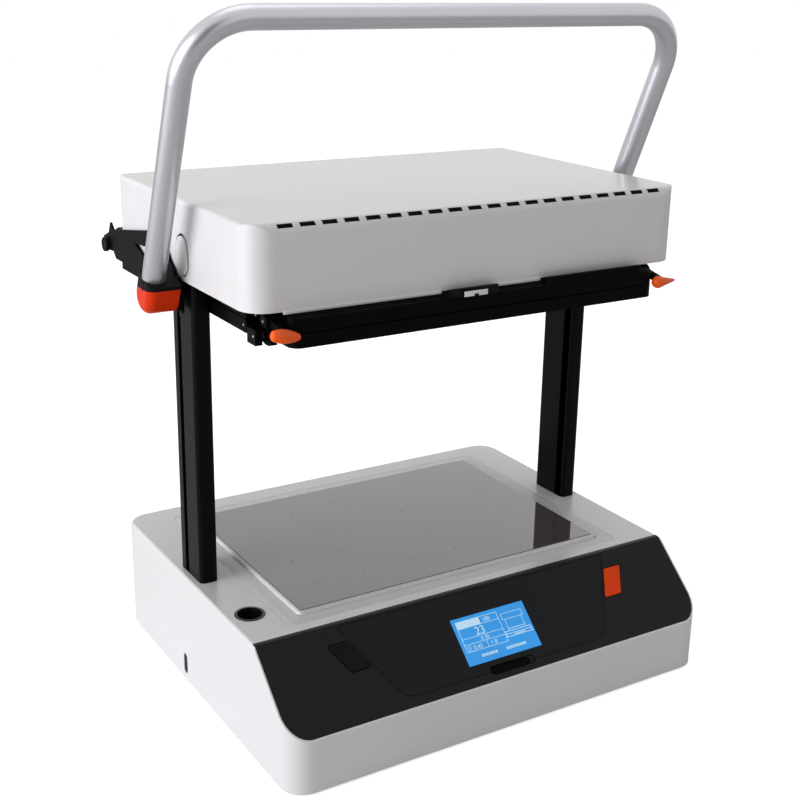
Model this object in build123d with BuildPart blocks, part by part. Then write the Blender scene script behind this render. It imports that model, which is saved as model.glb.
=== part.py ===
from build123d import *
import os
from math import asin, atan2, cos, degrees, hypot, radians, sin

# Desktop vacuum forming machine.  Millimetres, X to the right, Y to the back, Z up.
# The origin is on the table, under the middle of the base.

os.makedirs("parts", exist_ok=True)

# ---------------------------------------------------------------- driving sizes
# base
base_width = 412.0
base_depth = 342.0
base_height = 100.0
base_corner = 20.0
base_edge = 3.0
base_wall = 3.0
base_top_wall = 6.0
foot_height = 2.0
floor_thickness = 2.0

# sloped control panel
slope_run = 62.5
front_face_height = 45.0
fascia_thickness = 2.5
fascia_rim = 1.2

# forming bed, with its margins from the base's sides and back
bed_side_margin = 56.0
bed_back_margin = 38.0
bed_front_margin = 92.0
bed_thickness = 2.5
bed_proud = 3.0
bed_hole_radius = 0.7
bed_hole_pitch = 46.0
bed_hole_columns = 6
bed_hole_rows = 4
platform_rim = 3.5
platform_lip = 0.5
moat_margin = 14.0
moat_depth = 3.0
ledge_width = 12.0

# columns
column_inset = 7.0
column_width = 16.0
column_depth = 44.0
column_behind = 2.0
column_corner = 4.5
column_wall = 2.5
outer_slot = 7.0
outer_slot_behind = 9.0
inner_slot = 9.0
inner_slot_ahead = 12.5
column_in_hood = 43.7

# heater hood
hood_over = 3.0
hood_front_over = 25.0
hood_height = 64.0
hood_corner = 20.0
hood_rear_corner = 10.0
hood_edge = 7.0
hood_side_edge = 3.0
hood_wall = 2.0
hood_clearance = 4.3
vent_count = 20
vent_margin = 30.0
vent_length = 12.6
vent_width = 4.0
vent_angle = 48.0

# carriage and clamp frames
travel = 230.5
rest_gap = 0.5
pad_height = 1.5
lower_frame_thickness = 10.5
sheet_gap = 1.0
upper_frame_thickness = 11.0
frame_column_gap = 11.0
frame_front_over = 33.0
frame_back_over = 29.0
frame_corner = 9.0
side_rail_gap = 0.5
bed_to_frame = 2.0

# handle
hub_clearance = 1.4
hub_width = 26.1
hub_radius = 14.5
tube_offset = 17.1
pivot_rise = 16.0
handle_lean = 22.84
handle_reach = 231.5
handle_bend = 48.0
handle_radius = 9.25
handle_bore = 7.25

# rear hinge of the lower clamp frame
hinge_behind = 20.0
hinge_rise = 25.5
hinge_pin_radius = 3.0
hinge_eye = 8.0

# front latches
latch_behind = 24.0
latch_rise = 17.0
latch_to_rail = 32.0
latch_pin_radius = 3.0
keeper_radius = 2.2
keeper_behind = 4.0
keeper_rise = 5.5

# clearances
gap = 0.3
slide_gap = 0.2
bore_gap = 0.05
seam = 0.5

# ---------------------------------------------------------------- worked-out sizes
base_low = foot_height
base_top = base_low + base_height
base_front = -base_depth / 2
base_back = base_depth / 2
break_y = base_front + slope_run
front_break_z = base_low + front_face_height
floor_top = base_low + floor_thickness
ceiling = base_top - base_top_wall

slope_rise = base_top - front_break_z
slope_length = hypot(slope_run, slope_rise)
slope_angle = degrees(atan2(slope_rise, slope_run))

moat_floor = base_top - moat_depth
bed_width = base_width - 2 * bed_side_margin
bed_depth = base_depth - bed_back_margin - bed_front_margin
bed_top = base_top + bed_proud
bed_low = bed_top - bed_thickness
platform_width = bed_width + 2 * platform_rim
platform_depth = bed_depth + 2 * platform_rim

column_line = base_back - bed_back_margin - bed_depth / 2
column_outer_x = base_width / 2 - column_inset
column_x = column_outer_x - column_width / 2
column_inner_x = column_outer_x - column_width
column_mid = column_line + column_behind
column_front = column_mid - column_depth / 2
column_back = column_mid + column_depth / 2
outer_slot_y = column_line + outer_slot_behind
inner_slot_y = column_line - inner_slot_ahead

frame_half_width = column_inner_x - frame_column_gap
frame_front = column_line - bed_depth / 2 - frame_front_over
frame_back = column_line + bed_depth / 2 + frame_back_over
frame_low = base_top + pad_height + rest_gap + travel
lower_frame_top = frame_low + lower_frame_thickness
upper_frame_low = lower_frame_top + sheet_gap
upper_frame_top = upper_frame_low + upper_frame_thickness
opening_half_width = platform_width / 2 + bed_to_frame
opening_half_depth = platform_depth / 2 + bed_to_frame
frame_depth = frame_back - frame_front
frame_mid_y = (frame_back + frame_front) / 2
side_rail_outer = column_inner_x - side_rail_gap

hood_width = 2 * (column_outer_x + hood_over)
hood_depth = bed_depth + 2 * hood_front_over
hood_low = upper_frame_top + hood_clearance
hood_top = hood_low + hood_height
hood_front = column_line - hood_depth / 2
hood_back = column_line + hood_depth / 2
hood_ceiling = hood_top - hood_wall
vent_pitch = (hood_width - 2 * vent_margin) / (vent_count - 1)
column_top = hood_low + column_in_hood

pivot_y = column_line
pivot_z = frame_low + pivot_rise
hub_inner_x = base_width / 2 + hub_clearance
hub_outer_x = hub_inner_x + hub_width
handle_half_width = hub_inner_x + tube_offset

hinge_y = frame_back + hinge_behind
hinge_z = frame_low + hinge_rise
latch_y = frame_front + latch_behind
latch_z = frame_low + latch_rise
keeper_y = latch_y + keeper_behind
keeper_z = frame_low + keeper_rise
side_rail_front = latch_y + latch_to_rail

# a plane on the sloped panel: x runs right, y runs down the slope, z points into the machine
panel = Plane(
    origin=(0, break_y, base_top),
    x_dir=(1, 0, 0),
    z_dir=(0, sin(radians(slope_angle)), -cos(radians(slope_angle))),
)


def finish(builder, label):
    """Label a finished piece and write it as its own STEP file."""
    builder.part.label = label
    export_step(builder.part, f"parts/{label}.step")


def base_form(inset, low, high, sunk):
    """The base's outline drawn in by inset, its sloped front face sunk by sunk."""
    inward_y = sunk * sin(radians(slope_angle))
    inward_z = -sunk * cos(radians(slope_angle))
    along_y = cos(radians(slope_angle)) * base_height
    along_z = sin(radians(slope_angle)) * base_height
    upper = (break_y + inward_y + along_y, base_top + inward_z + along_z)
    lower = (base_front + inward_y - along_y, front_break_z + inward_z - along_z)
    with BuildPart() as form:
        with BuildSketch(Plane.XY.offset(low)):
            RectangleRounded(base_width - 2 * inset, base_depth - 2 * inset, base_corner - inset)
        extrude(amount=high - low)
        with BuildSketch(Plane.YZ):
            with BuildLine():
                Polyline(upper, lower, (lower[0], upper[1]), close=True)
            make_face()
        extrude(amount=base_width, both=True, mode=Mode.SUBTRACT)
    return form.part


# ---------------------------------------------------------------- control panel layout
# the panel's y axis runs down the slope from the top break
panel_down = 1 if panel.y_dir.Z < 0 else -1

screen_half_width = 36.5
screen_half_height = 20.5
screen_drop = 43.5
screen_middle = screen_drop * panel_down

cover_top = 2.6
cover_bottom = 73.3
cover_half_top = 134.9
cover_half_bottom = 100.0
cover_thickness = 1.2
cover_bottom_round = 16.0
cover_top_round = 2.0

key_top = 16.0
key_bottom = 41.0
key_inner_top = 131.0
key_outer_top = 148.5
key_inner_bottom = 118.6
key_outer_bottom = 136.1
key_height = 6.5
key_proud = 0.8
key_round = 1.6
key_play = 0.6

slot_half_length = 19.5
slot_half_height = 3.2
slot_middle = 73.0
slot_depth = 1.6


def cover_sketch(grow):
    """The trapezoid screen cover's outline, grown outwards by grow."""
    with BuildSketch() as outline:
        with BuildLine():
            Polyline(
                (-cover_half_top, cover_top * panel_down),
                (cover_half_top, cover_top * panel_down),
                (cover_half_bottom, cover_bottom * panel_down),
                (-cover_half_bottom, cover_bottom * panel_down),
                close=True,
            )
        make_face()
        fillet(outline.vertices().sort_by(Axis.Y)[::panel_down][-2:], cover_bottom_round)
        fillet(outline.vertices().sort_by(Axis.Y)[::panel_down][:2], cover_top_round)
        if grow > 0:
            offset(amount=grow, kind=Kind.ARC)
    return outline.sketch


def key_sketch(side, grow):
    """The slanted key's outline on one side, grown outwards by grow."""
    with BuildSketch() as outline:
        with BuildLine():
            Polyline(
                (side * key_inner_top, key_top * panel_down),
                (side * key_outer_top, key_top * panel_down),
                (side * key_outer_bottom, key_bottom * panel_down),
                (side * key_inner_bottom, key_bottom * panel_down),
                close=True,
            )
        make_face()
        fillet(outline.vertices(), key_round)
        if grow > 0:
            offset(amount=grow, kind=Kind.ARC)
    return outline.sketch


# ---------------------------------------------------------------- base shell
port_inset = 20.0
port_x = port_inset - base_width / 2
port_y = -60.0
port_radius = 11.0
port_bore = 9.8
port_depth = 30.0

side_slot_back = 4.0
side_slot_y = column_line + side_slot_back
side_slot_width = 8.0
side_slot_low = 8.0
side_slot_high = 27.0

inlet_inset = 101.0
inlet_x = inlet_inset - base_width / 2
inlet_z = 34.0
inlet_width = 27.5
inlet_height = 20.0
inlet_ear = 8.0

fan_inset = 101.0
fan_x = base_width / 2 - fan_inset
fan_z = 46.0
fan_size = 60.0
fan_depth = 15.0
fan_bore = 27.5
vent_bar = 4.0
vent_gap = 4.0
vent_rows = 6

fascia = base_form(fascia_rim + seam / 2, base_low, base_top, 0)
fascia_pocket = base_form(fascia_rim, base_low, base_top + 1, 0)
fascia_bed = base_form(0, base_low - 1, base_top + 1, fascia_thickness)
cavity = base_form(base_wall, base_low - 1, ceiling, fascia_thickness + base_wall)

with BuildPart() as base_shell:
    add(base_form(0, base_low, base_top, 0))
    top_rim = base_shell.edges().filter_by_position(Axis.Z, base_top - 0.01, base_top + 0.01)
    fillet(top_rim.filter_by_position(Axis.Y, break_y + 1, base_back + 1), base_edge)
    # pocket that takes the black fascia, leaving a thin white rim round it
    add(fascia_pocket - fascia_bed, mode=Mode.SUBTRACT)
    # shallow moat round the bed, with the raised platform inside it
    with BuildSketch(Plane.XY.offset(moat_floor)):
        with Locations((0, column_line)):
            RectangleRounded(
                platform_width + 2 * moat_margin, platform_depth + 2 * moat_margin - 4, moat_margin / 2
            )
            RectangleRounded(platform_width, platform_depth, platform_rim + 1, mode=Mode.SUBTRACT)
    extrude(amount=moat_depth + 1, mode=Mode.SUBTRACT)
    with BuildSketch(Plane.XY.offset(moat_floor)):
        with Locations((0, column_line)):
            RectangleRounded(platform_width, platform_depth, platform_rim + 1)
    extrude(amount=bed_top - platform_lip - moat_floor)
    platform_rims = base_shell.edges().filter_by_position(
        Axis.Z, bed_top - platform_lip - 0.01, bed_top - platform_lip + 0.01
    )
    fillet(platform_rims, platform_rim * 0.6)
    add(cavity, mode=Mode.SUBTRACT)
    with BuildSketch(Plane.XY.offset(bed_low)):
        with Locations((0, column_line)):
            RectangleRounded(bed_width + seam, bed_depth + seam, 1.5 + seam / 2)
    extrude(amount=bed_thickness + 1, mode=Mode.SUBTRACT)
    with BuildSketch(Plane.XY.offset(ceiling - 1)):
        with Locations((0, column_line)):
            Rectangle(bed_width - 2 * ledge_width, bed_depth - 2 * ledge_width)
    extrude(amount=bed_low - ceiling + 2, mode=Mode.SUBTRACT)
    # column holes and the round port
    with BuildSketch(Plane.XY.offset(ceiling - 1)):
        with Locations((-column_x, column_mid), (column_x, column_mid)):
            RectangleRounded(column_width + gap, column_depth + gap, column_corner + gap / 2)
        with Locations((port_x, port_y)):
            Circle(port_radius + gap / 2)
    extrude(amount=base_top_wall + 2, mode=Mode.SUBTRACT)
    # slot low on the left side
    with BuildSketch(Plane.YZ.offset(-base_width / 2 - 1)):
        with Locations((side_slot_y, (side_slot_low + side_slot_high) / 2)):
            SlotOverall(side_slot_high - side_slot_low, side_slot_width, rotation=90)
    extrude(amount=base_wall + 2, mode=Mode.SUBTRACT)
    # back wall: mains inlet hole and cooling slots
    with BuildSketch(Plane.XZ.offset(-base_back - 1)):
        with Locations((inlet_x, inlet_z)):
            Rectangle(inlet_width + gap, inlet_height + gap)
        with Locations((fan_x, fan_z)):
            with GridLocations(0, vent_bar + vent_gap, 1, vent_rows):
                SlotOverall(fan_size - 8, vent_gap)
    extrude(amount=base_wall + 2, mode=Mode.SUBTRACT)
    # windows for the screen and the two keys
    with BuildSketch(panel.offset(-1)):
        with Locations((0, screen_middle)):
            Rectangle(2 * screen_half_width + seam, 2 * screen_half_height + seam)
        add(key_sketch(-1, key_play))
        add(key_sketch(1, key_play))
    extrude(amount=fascia_thickness + base_wall + 4, mode=Mode.SUBTRACT)
finish(base_shell, "base_shell")

# ---------------------------------------------------------------- base floor, feet
foot_radius = 9.0
foot_inset = 34.0
foot_stem = 3.5
floor_slot_pitch = 12.0
floor_slot_count = 9
floor_slot_width = 5.0
floor_slot_length = 40.0

with BuildPart() as base_plate:
    with BuildSketch(Plane.XY.offset(foot_height)):
        RectangleRounded(
            base_width - 2 * (base_wall + gap), base_depth - 2 * (base_wall + gap), base_corner - base_wall
        )
        with GridLocations(base_width - 2 * foot_inset, base_depth - 2 * foot_inset, 2, 2):
            Circle(foot_stem, mode=Mode.SUBTRACT)
    extrude(amount=floor_thickness)
    with BuildSketch(Plane.XY.offset(foot_height)):
        with GridLocations(floor_slot_pitch, 0, floor_slot_count, 1):
            Rectangle(floor_slot_width, floor_slot_length)
    extrude(amount=floor_thickness, mode=Mode.SUBTRACT)
finish(base_plate, "base_plate")

with BuildPart() as rubber_feet:
    with GridLocations(base_width - 2 * foot_inset, base_depth - 2 * foot_inset, 2, 2):
        Cylinder(foot_radius, foot_height, align=(Align.CENTER, Align.CENTER, Align.MIN))
    with Locations((0, 0, foot_height)):
        with GridLocations(base_width - 2 * foot_inset, base_depth - 2 * foot_inset, 2, 2):
            Cylinder(
                foot_stem - bore_gap, floor_thickness, align=(Align.CENTER, Align.CENTER, Align.MIN)
            )
finish(rubber_feet, "rubber_feet")

# ---------------------------------------------------------------- control panel pieces
with BuildPart() as control_fascia:
    add(fascia - fascia_bed)
    with BuildSketch(panel):
        add(cover_sketch(seam))
    extrude(amount=cover_thickness, mode=Mode.SUBTRACT)
    with BuildSketch(panel.offset(-1)):
        with Locations((0, screen_middle)):
            Rectangle(2 * screen_half_width + seam, 2 * screen_half_height + seam)
        add(key_sketch(-1, key_play))
        add(key_sketch(1, key_play))
    extrude(amount=fascia_thickness + 2, mode=Mode.SUBTRACT)
    with BuildSketch(panel.offset(-1)):
        with Locations((0, slot_middle * panel_down)):
            SlotOverall(2 * slot_half_length, 2 * slot_half_height)
    extrude(amount=slot_depth + 1, mode=Mode.SUBTRACT)
finish(control_fascia, "control_fascia")

with BuildPart() as screen_cover:
    with BuildSketch(panel):
        add(cover_sketch(0))
        with Locations((0, screen_middle)):
            Rectangle(2 * screen_half_width + seam, 2 * screen_half_height + seam, mode=Mode.SUBTRACT)
        with Locations((0, slot_middle * panel_down)):
            SlotOverall(2 * slot_half_length, 2 * slot_half_height, mode=Mode.SUBTRACT)
    extrude(amount=cover_thickness)
finish(screen_cover, "screen_cover")

board_depth = fascia_thickness + base_wall + 6.0
board_half_width = 75.0
board_half_height = screen_half_height + 7.5
board_thickness = 1.6
board_post_inset = 5.0
board_post_radius = 3.0
relay_width = 18.0
relay_height = 22.0
relay_x = -(board_half_width - relay_width - 2)
relay_step = relay_width + 7
terminal_width = 50.0
terminal_height = 12.0
board_part_height = 9.0
module_front = 0.2

with BuildPart() as screen_module:
    with BuildSketch(panel.offset(module_front)):
        with Locations((0, screen_middle)):
            Rectangle(2 * screen_half_width, 2 * screen_half_height)
    extrude(amount=board_depth - module_front)
finish(screen_module, "screen_module")

with BuildPart() as control_board:
    with BuildSketch(panel.offset(board_depth)):
        with Locations((0, screen_middle)):
            Rectangle(2 * board_half_width, 2 * board_half_height)
    extrude(amount=board_thickness)
    # relays and a connector block on the back of the board
    with BuildSketch(panel.offset(board_depth + board_thickness)):
        with Locations((relay_x, screen_middle), (relay_x + relay_step, screen_middle)):
            Rectangle(relay_width, relay_height)
        with Locations((terminal_width / 2 + board_post_inset, screen_middle - terminal_height)):
            Rectangle(terminal_width, terminal_height)
    extrude(amount=board_part_height)
    # posts that hold the board off the sloped wall
    with BuildSketch(panel.offset(fascia_thickness + base_wall)):
        with Locations((0, screen_middle)):
            with GridLocations(
                2 * (board_half_width - board_post_inset), 2 * (board_half_height - board_post_inset), 2, 2
            ):
                Circle(board_post_radius)
    extrude(amount=board_depth - fascia_thickness - base_wall)
finish(control_board, "control_board")

switch_wall = 4.0
switch_depth = 12.0
switch_well = 4.0


def key_switch(side, label):
    """The fixed switch body behind one key, with its flange against the sloped wall."""
    with BuildPart() as switch:
        with BuildSketch(panel.offset(fascia_thickness + base_wall)):
            add(key_sketch(side, key_play + switch_wall))
        extrude(amount=switch_depth)
        with BuildSketch(panel.offset(fascia_thickness + base_wall)):
            add(key_sketch(side, key_play))
        extrude(amount=switch_well, mode=Mode.SUBTRACT)
    finish(switch, label)


key_switch(-1, "start_switch")
key_switch(1, "power_switch")

with BuildPart() as start_key:
    with BuildSketch(panel.offset(-key_proud)):
        add(key_sketch(-1, 0))
    extrude(amount=key_height + key_proud)
    outer_rim = start_key.faces().sort_by(Axis((0, 0, 0), tuple(panel.z_dir)))[0].edges()
    fillet(outer_rim, 0.5)
finish(start_key, "start_key")

with BuildPart() as power_rocker:
    with BuildSketch(panel.offset(-key_proud)):
        add(key_sketch(1, 0))
    extrude(amount=key_height + key_proud)
    outer_rim = power_rocker.faces().sort_by(Axis((0, 0, 0), tuple(panel.z_dir)))[0].edges()
    fillet(outer_rim, 0.7)
finish(power_rocker, "power_rocker")

# ---------------------------------------------------------------- bed and vacuum side
plenum_height = 20.0
plenum_wall = 2.5
plenum_low = ceiling - plenum_height
outlet_radius = 17.0
motor_radius = 52.0
motor_x = 30.0
motor_y = 40.0
motor_head_height = 26.0
motor_neck = 6.0
motor_taper = 18.0
boot_height = 10.0
boot_wall = 3.0
motor_neck_top = plenum_low - boot_height

with BuildPart() as bed_plate:
    with BuildSketch(Plane.XY.offset(bed_low)):
        with Locations((0, column_line)):
            RectangleRounded(bed_width, bed_depth, 1.5)
            with GridLocations(bed_hole_pitch, bed_hole_pitch, bed_hole_columns, bed_hole_rows):
                RegularPolygon(bed_hole_radius, 8, mode=Mode.SUBTRACT)
    extrude(amount=bed_thickness)
finish(bed_plate, "bed_plate")

with BuildPart() as vacuum_tray:
    with BuildSketch(Plane.XY.offset(plenum_low)):
        with Locations((0, column_line)):
            Rectangle(bed_width, bed_depth)
    extrude(amount=plenum_height)
    with BuildSketch(Plane.XY.offset(plenum_low + plenum_wall)):
        with Locations((0, column_line)):
            Rectangle(bed_width - 2 * ledge_width, bed_depth - 2 * ledge_width)
    extrude(amount=plenum_height, mode=Mode.SUBTRACT)
    with BuildSketch(Plane.XY.offset(plenum_low)):
        with Locations((motor_x, motor_y)):
            Circle(outlet_radius)
    extrude(amount=plenum_wall, mode=Mode.SUBTRACT)
finish(vacuum_tray, "vacuum_tray")

with BuildPart() as vacuum_motor:
    with BuildSketch(Plane.XZ.offset(-motor_y)):
        with BuildLine():
            Polyline(
                (motor_x, floor_top),
                (motor_x + motor_radius - motor_taper, floor_top),
                (motor_x + motor_radius - motor_taper, motor_neck_top - motor_head_height - motor_neck),
                (motor_x + motor_radius, motor_neck_top - motor_head_height),
                (motor_x + motor_radius, motor_neck_top - motor_neck),
                (motor_x + outlet_radius + boot_wall, motor_neck_top - motor_neck),
                (motor_x + outlet_radius + boot_wall, motor_neck_top),
                (motor_x, motor_neck_top),
                close=True,
            )
        make_face()
    revolve(axis=Axis((motor_x, motor_y, 0), (0, 0, 1)))
    with BuildSketch(Plane.XY.offset(motor_neck_top)):
        with Locations((motor_x, motor_y)):
            Circle(outlet_radius)
    extrude(amount=-motor_head_height / 2, mode=Mode.SUBTRACT)
finish(vacuum_motor, "vacuum_motor")

boot_steps = 2
boot_step = boot_height / boot_steps

with BuildPart() as suction_boot:
    for step in range(boot_steps):
        with Locations((motor_x, motor_y, motor_neck_top + step * boot_step)):
            Cylinder(
                outlet_radius + boot_wall + 2, boot_step / 2, align=(Align.CENTER, Align.CENTER, Align.MIN)
            )
        with Locations((motor_x, motor_y, motor_neck_top + (step + 0.5) * boot_step)):
            Cylinder(
                outlet_radius + boot_wall, boot_step / 2, align=(Align.CENTER, Align.CENTER, Align.MIN)
            )
    with BuildSketch(Plane.XY.offset(motor_neck_top)):
        with Locations((motor_x, motor_y)):
            Circle(outlet_radius)
    extrude(amount=boot_height, mode=Mode.SUBTRACT)
finish(suction_boot, "suction_boot")

with BuildPart() as port_cup:
    with BuildSketch(Plane.XY.offset(base_top - port_depth - 2)):
        with Locations((port_x, port_y)):
            Circle(port_radius)
    extrude(amount=port_depth + 2)
    with BuildSketch(Plane.XY.offset(base_top - port_depth)):
        with Locations((port_x, port_y)):
            Circle(port_bore)
    extrude(amount=port_depth, mode=Mode.SUBTRACT)
    with BuildSketch(Plane.XY.offset(ceiling - 3)):
        with Locations((port_x, port_y)):
            Rectangle(2 * port_radius + 2, 2 * port_radius + 6)
            Circle(port_radius, mode=Mode.SUBTRACT)
    extrude(amount=3)
finish(port_cup, "port_cup")

# ---------------------------------------------------------------- power supply, inlet, fan
supply_width = 110.0
supply_depth = 62.0
supply_height = 34.0
supply_inset = 101.0
supply_x = supply_inset - base_width / 2
supply_y = 60.0
fin_pitch = 9.0
fin_count = 11

with BuildPart() as power_supply:
    with BuildSketch(Plane.XY.offset(floor_top)):
        with Locations((supply_x, supply_y)):
            Rectangle(supply_width, supply_depth)
    extrude(amount=supply_height)
    with BuildSketch(Plane.XY.offset(floor_top + supply_height)):
        with Locations((supply_x, supply_y)):
            with GridLocations(fin_pitch, 0, fin_count, 1):
                Rectangle(3, supply_depth - 8)
    extrude(amount=8)
finish(power_supply, "power_supply")

inlet_body_depth = 22.0
blade_reach = 15.0

with BuildPart() as mains_inlet:
    with BuildSketch(Plane.XZ.offset(-(base_back - base_wall - inlet_body_depth))):
        with Locations((inlet_x, inlet_z)):
            Rectangle(inlet_width, inlet_height)
    extrude(amount=-(inlet_body_depth + base_wall))
    with BuildSketch(Plane.XZ.offset(-(base_back - base_wall))):
        with Locations((inlet_x, inlet_z)):
            Rectangle(inlet_width + 2 * inlet_ear, inlet_height + 2 * base_wall)
    extrude(amount=3)
    with BuildSketch(Plane.XZ.offset(-(base_back - blade_reach - 1))):
        with Locations((inlet_x, inlet_z)):
            Rectangle(inlet_width - 4, inlet_height - 4)
    extrude(amount=-(blade_reach + 2), mode=Mode.SUBTRACT)
finish(mains_inlet, "mains_inlet")

with BuildPart() as inlet_blades:
    with BuildSketch(Plane.XZ.offset(-(base_back - blade_reach - 1))):
        with Locations((inlet_x - 7, inlet_z - 2), (inlet_x, inlet_z + 3), (inlet_x + 7, inlet_z - 2)):
            Rectangle(2, 4)
    extrude(amount=-(blade_reach - 3))
finish(inlet_blades, "inlet_blades")

fan_back = base_back - base_wall
fan_front = fan_back - fan_depth
rotor_radius = fan_bore - 1.5
rotor_hub = 11.0
shaft_radius = 3.0
rotor_depth = 9.0
blade_count = 7
blade_pitch = 35.0
blade_chord = 10.0
blade_thickness = 1.4

with BuildPart() as fan_housing:
    with BuildSketch(Plane.XZ.offset(-fan_front)):
        with Locations((fan_x, fan_z)):
            RectangleRounded(fan_size, fan_size, 4)
            Circle(fan_bore, mode=Mode.SUBTRACT)
    extrude(amount=-fan_depth)
    # motor mount on three struts, at the inner side
    with BuildSketch(Plane.XZ.offset(-fan_front)):
        with Locations((fan_x, fan_z)):
            Circle(rotor_hub)
            with PolarLocations(fan_bore / 2, 3):
                Rectangle(fan_bore + 2, 3)
    extrude(amount=-2.5)
    with BuildSketch(Plane.XZ.offset(-fan_front)):
        with Locations((fan_x, fan_z)):
            Circle(shaft_radius)
    extrude(amount=-(2.5 + gap + rotor_depth - 1))
finish(fan_housing, "fan_housing")

with BuildPart() as fan_rotor:
    with BuildSketch(Plane.XZ.offset(-(fan_front + 2.5 + gap))):
        with Locations((fan_x, fan_z)):
            Circle(rotor_hub)
    extrude(amount=-rotor_depth)
    with BuildSketch(Plane.XZ.offset(-(fan_front + 2.5 + gap))):
        with Locations((fan_x, fan_z)):
            Circle(shaft_radius + bore_gap)
    extrude(amount=-(rotor_depth - 1), mode=Mode.SUBTRACT)
    blade_span = rotor_radius - rotor_hub + 2
    for turn in range(blade_count):
        angle = radians(360 / blade_count * turn)
        pitch = radians(blade_pitch)
        blade_plane = Plane(
            origin=(fan_x, fan_front + 2.5 + gap + rotor_depth / 2, fan_z),
            x_dir=(cos(angle), 0, sin(angle)),
            z_dir=(-sin(pitch) * sin(angle), cos(pitch), sin(pitch) * cos(angle)),
        )
        with BuildSketch(blade_plane.offset(-blade_thickness / 2)):
            with Locations((rotor_hub - 2 + blade_span / 2, 0)):
                Rectangle(blade_span, blade_chord)
        extrude(amount=blade_thickness)
finish(fan_rotor, "fan_rotor")


# ---------------------------------------------------------------- small helpers for side pieces
def block(x_span, y_span, z_span):
    """A plain block from its three spans."""
    with BuildPart() as piece:
        with Locations((sum(x_span) / 2, sum(y_span) / 2, sum(z_span) / 2)):
            Box(abs(x_span[1] - x_span[0]), abs(y_span[1] - y_span[0]), abs(z_span[1] - z_span[0]))
    return piece.part


def rod(x_span, y, z, radius):
    """A round rod lying along X."""
    with BuildPart() as piece:
        with BuildSketch(Plane.YZ.offset(x_span[0])):
            with Locations((y, z)):
                Circle(radius)
        extrude(amount=x_span[1] - x_span[0])
    return piece.part


def side_span(side, inner, outer):
    """The X span of a piece given by its distance from the middle, on one side."""
    return (side * inner, side * outer)


# ---------------------------------------------------------------- columns
slider_block_height = 30.0
bush_height = 8.0
slot_margin = 1.0
slider_block_low = frame_low + seam
slider_block_high = slider_block_low + slider_block_height
slot_low = ceiling + 2 * slot_margin
slot_high = slider_block_high + bush_height + slot_margin


def column(side, label):
    """One guide column, hollow for the slider, with a slot in its outer and its inner wall."""
    middle = side * column_x
    with BuildPart() as post:
        with BuildSketch(Plane.XY.offset(floor_top)):
            with Locations((middle, column_mid)):
                RectangleRounded(column_width, column_depth, column_corner)
                RectangleRounded(
                    column_width - 2 * column_wall, column_depth - 2 * column_wall, 1, mode=Mode.SUBTRACT
                )
        extrude(amount=column_top - floor_top)
        for slot_y, width, way in ((outer_slot_y, outer_slot, side), (inner_slot_y, inner_slot, -side)):
            with BuildSketch(Plane.YZ.offset(middle)):
                with Locations((slot_y, (slot_low + slot_high) / 2)):
                    SlotOverall(slot_high - slot_low, width, rotation=90)
            extrude(amount=way * column_width, mode=Mode.SUBTRACT)
    finish(post, label)


column(-1, "left_column")
column(1, "right_column")

clamp_reach = 11.0
clamp_inner_x = column_inner_x - clamp_reach
clamp_outer_x = base_width / 2 - base_wall - gap
clamp_overhang = 10.0
clamp_height = 12.0

with BuildPart() as column_clamps:
    for low in (floor_top, ceiling - clamp_height):
        for side in (-1, 1):
            add(
                block(
                    side_span(side, clamp_inner_x, clamp_outer_x),
                    (column_front - clamp_overhang, column_back + clamp_overhang),
                    (low, low + clamp_height),
                )
            )
    for side in (-1, 1):
        with BuildSketch(Plane.XY.offset(floor_top)):
            with Locations((side * column_x, column_mid)):
                RectangleRounded(column_width, column_depth, column_corner)
        extrude(amount=ceiling - floor_top, mode=Mode.SUBTRACT)
finish(column_clamps, "column_clamps")

bracket_web = 6.0
bracket_foot = 4.0

with BuildPart() as hood_brackets:
    for side in (-1, 1):
        add(
            block(
                side_span(side, column_inner_x, column_outer_x),
                (column_front, column_back),
                (column_top, column_top + bracket_foot),
            )
        )
        add(
            block(
                side_span(side, column_inner_x, column_inner_x + bracket_web),
                (column_front, column_back),
                (column_top, hood_ceiling),
            )
        )
finish(hood_brackets, "hood_brackets")


# ---------------------------------------------------------------- heater hood
def hood_form(inset):
    """The hood's box, drawn in by inset: soft in front, crisp at the sides and the back."""
    height = hood_height - inset
    side_edge = hood_side_edge - inset
    with BuildPart() as form:
        with BuildSketch(Plane.XY.offset(hood_low)) as plan:
            with Locations((0, column_line)):
                Rectangle(hood_width - 2 * inset, hood_depth - 2 * inset)
            fillet(plan.vertices().sort_by(Axis.Y)[:2], hood_corner - inset)
            fillet(plan.vertices().sort_by(Axis.Y)[-2:], hood_rear_corner - inset)
        extrude(amount=height)
        with BuildSketch(Plane.YZ) as profile:
            with Locations((column_line, hood_low + height / 2)):
                Rectangle(hood_depth - 2 * inset, height)
            fillet(profile.vertices().sort_by(Axis.X)[-2:].sort_by(Axis.Y)[-1], side_edge)
            fillet(profile.vertices().sort_by(Axis.X)[:2].sort_by(Axis.Y)[-1], hood_edge - inset)
        extrude(amount=hood_width, both=True, mode=Mode.INTERSECT)
        with BuildSketch(Plane.XZ) as face:
            with Locations((0, hood_low + height / 2)):
                Rectangle(hood_width - 2 * inset, height)
            fillet(face.vertices().sort_by(Axis.Y)[2:], side_edge)
        extrude(amount=hood_width, both=True, mode=Mode.INTERSECT)
    return form.part


plug_forward = 10.0
plug_rise = 20.7
plug_y = column_line - plug_forward
plug_z = hood_low + plug_rise
plug_width = 26.0
plug_height = 34.0
plug_gap = 1.0

hood_inner = hood_form(hood_wall)
vent_plane = Plane(
    origin=(0, hood_front + hood_edge, hood_top - hood_edge),
    x_dir=(1, 0, 0),
    z_dir=(0, -cos(radians(vent_angle)), sin(radians(vent_angle))),
)

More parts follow.
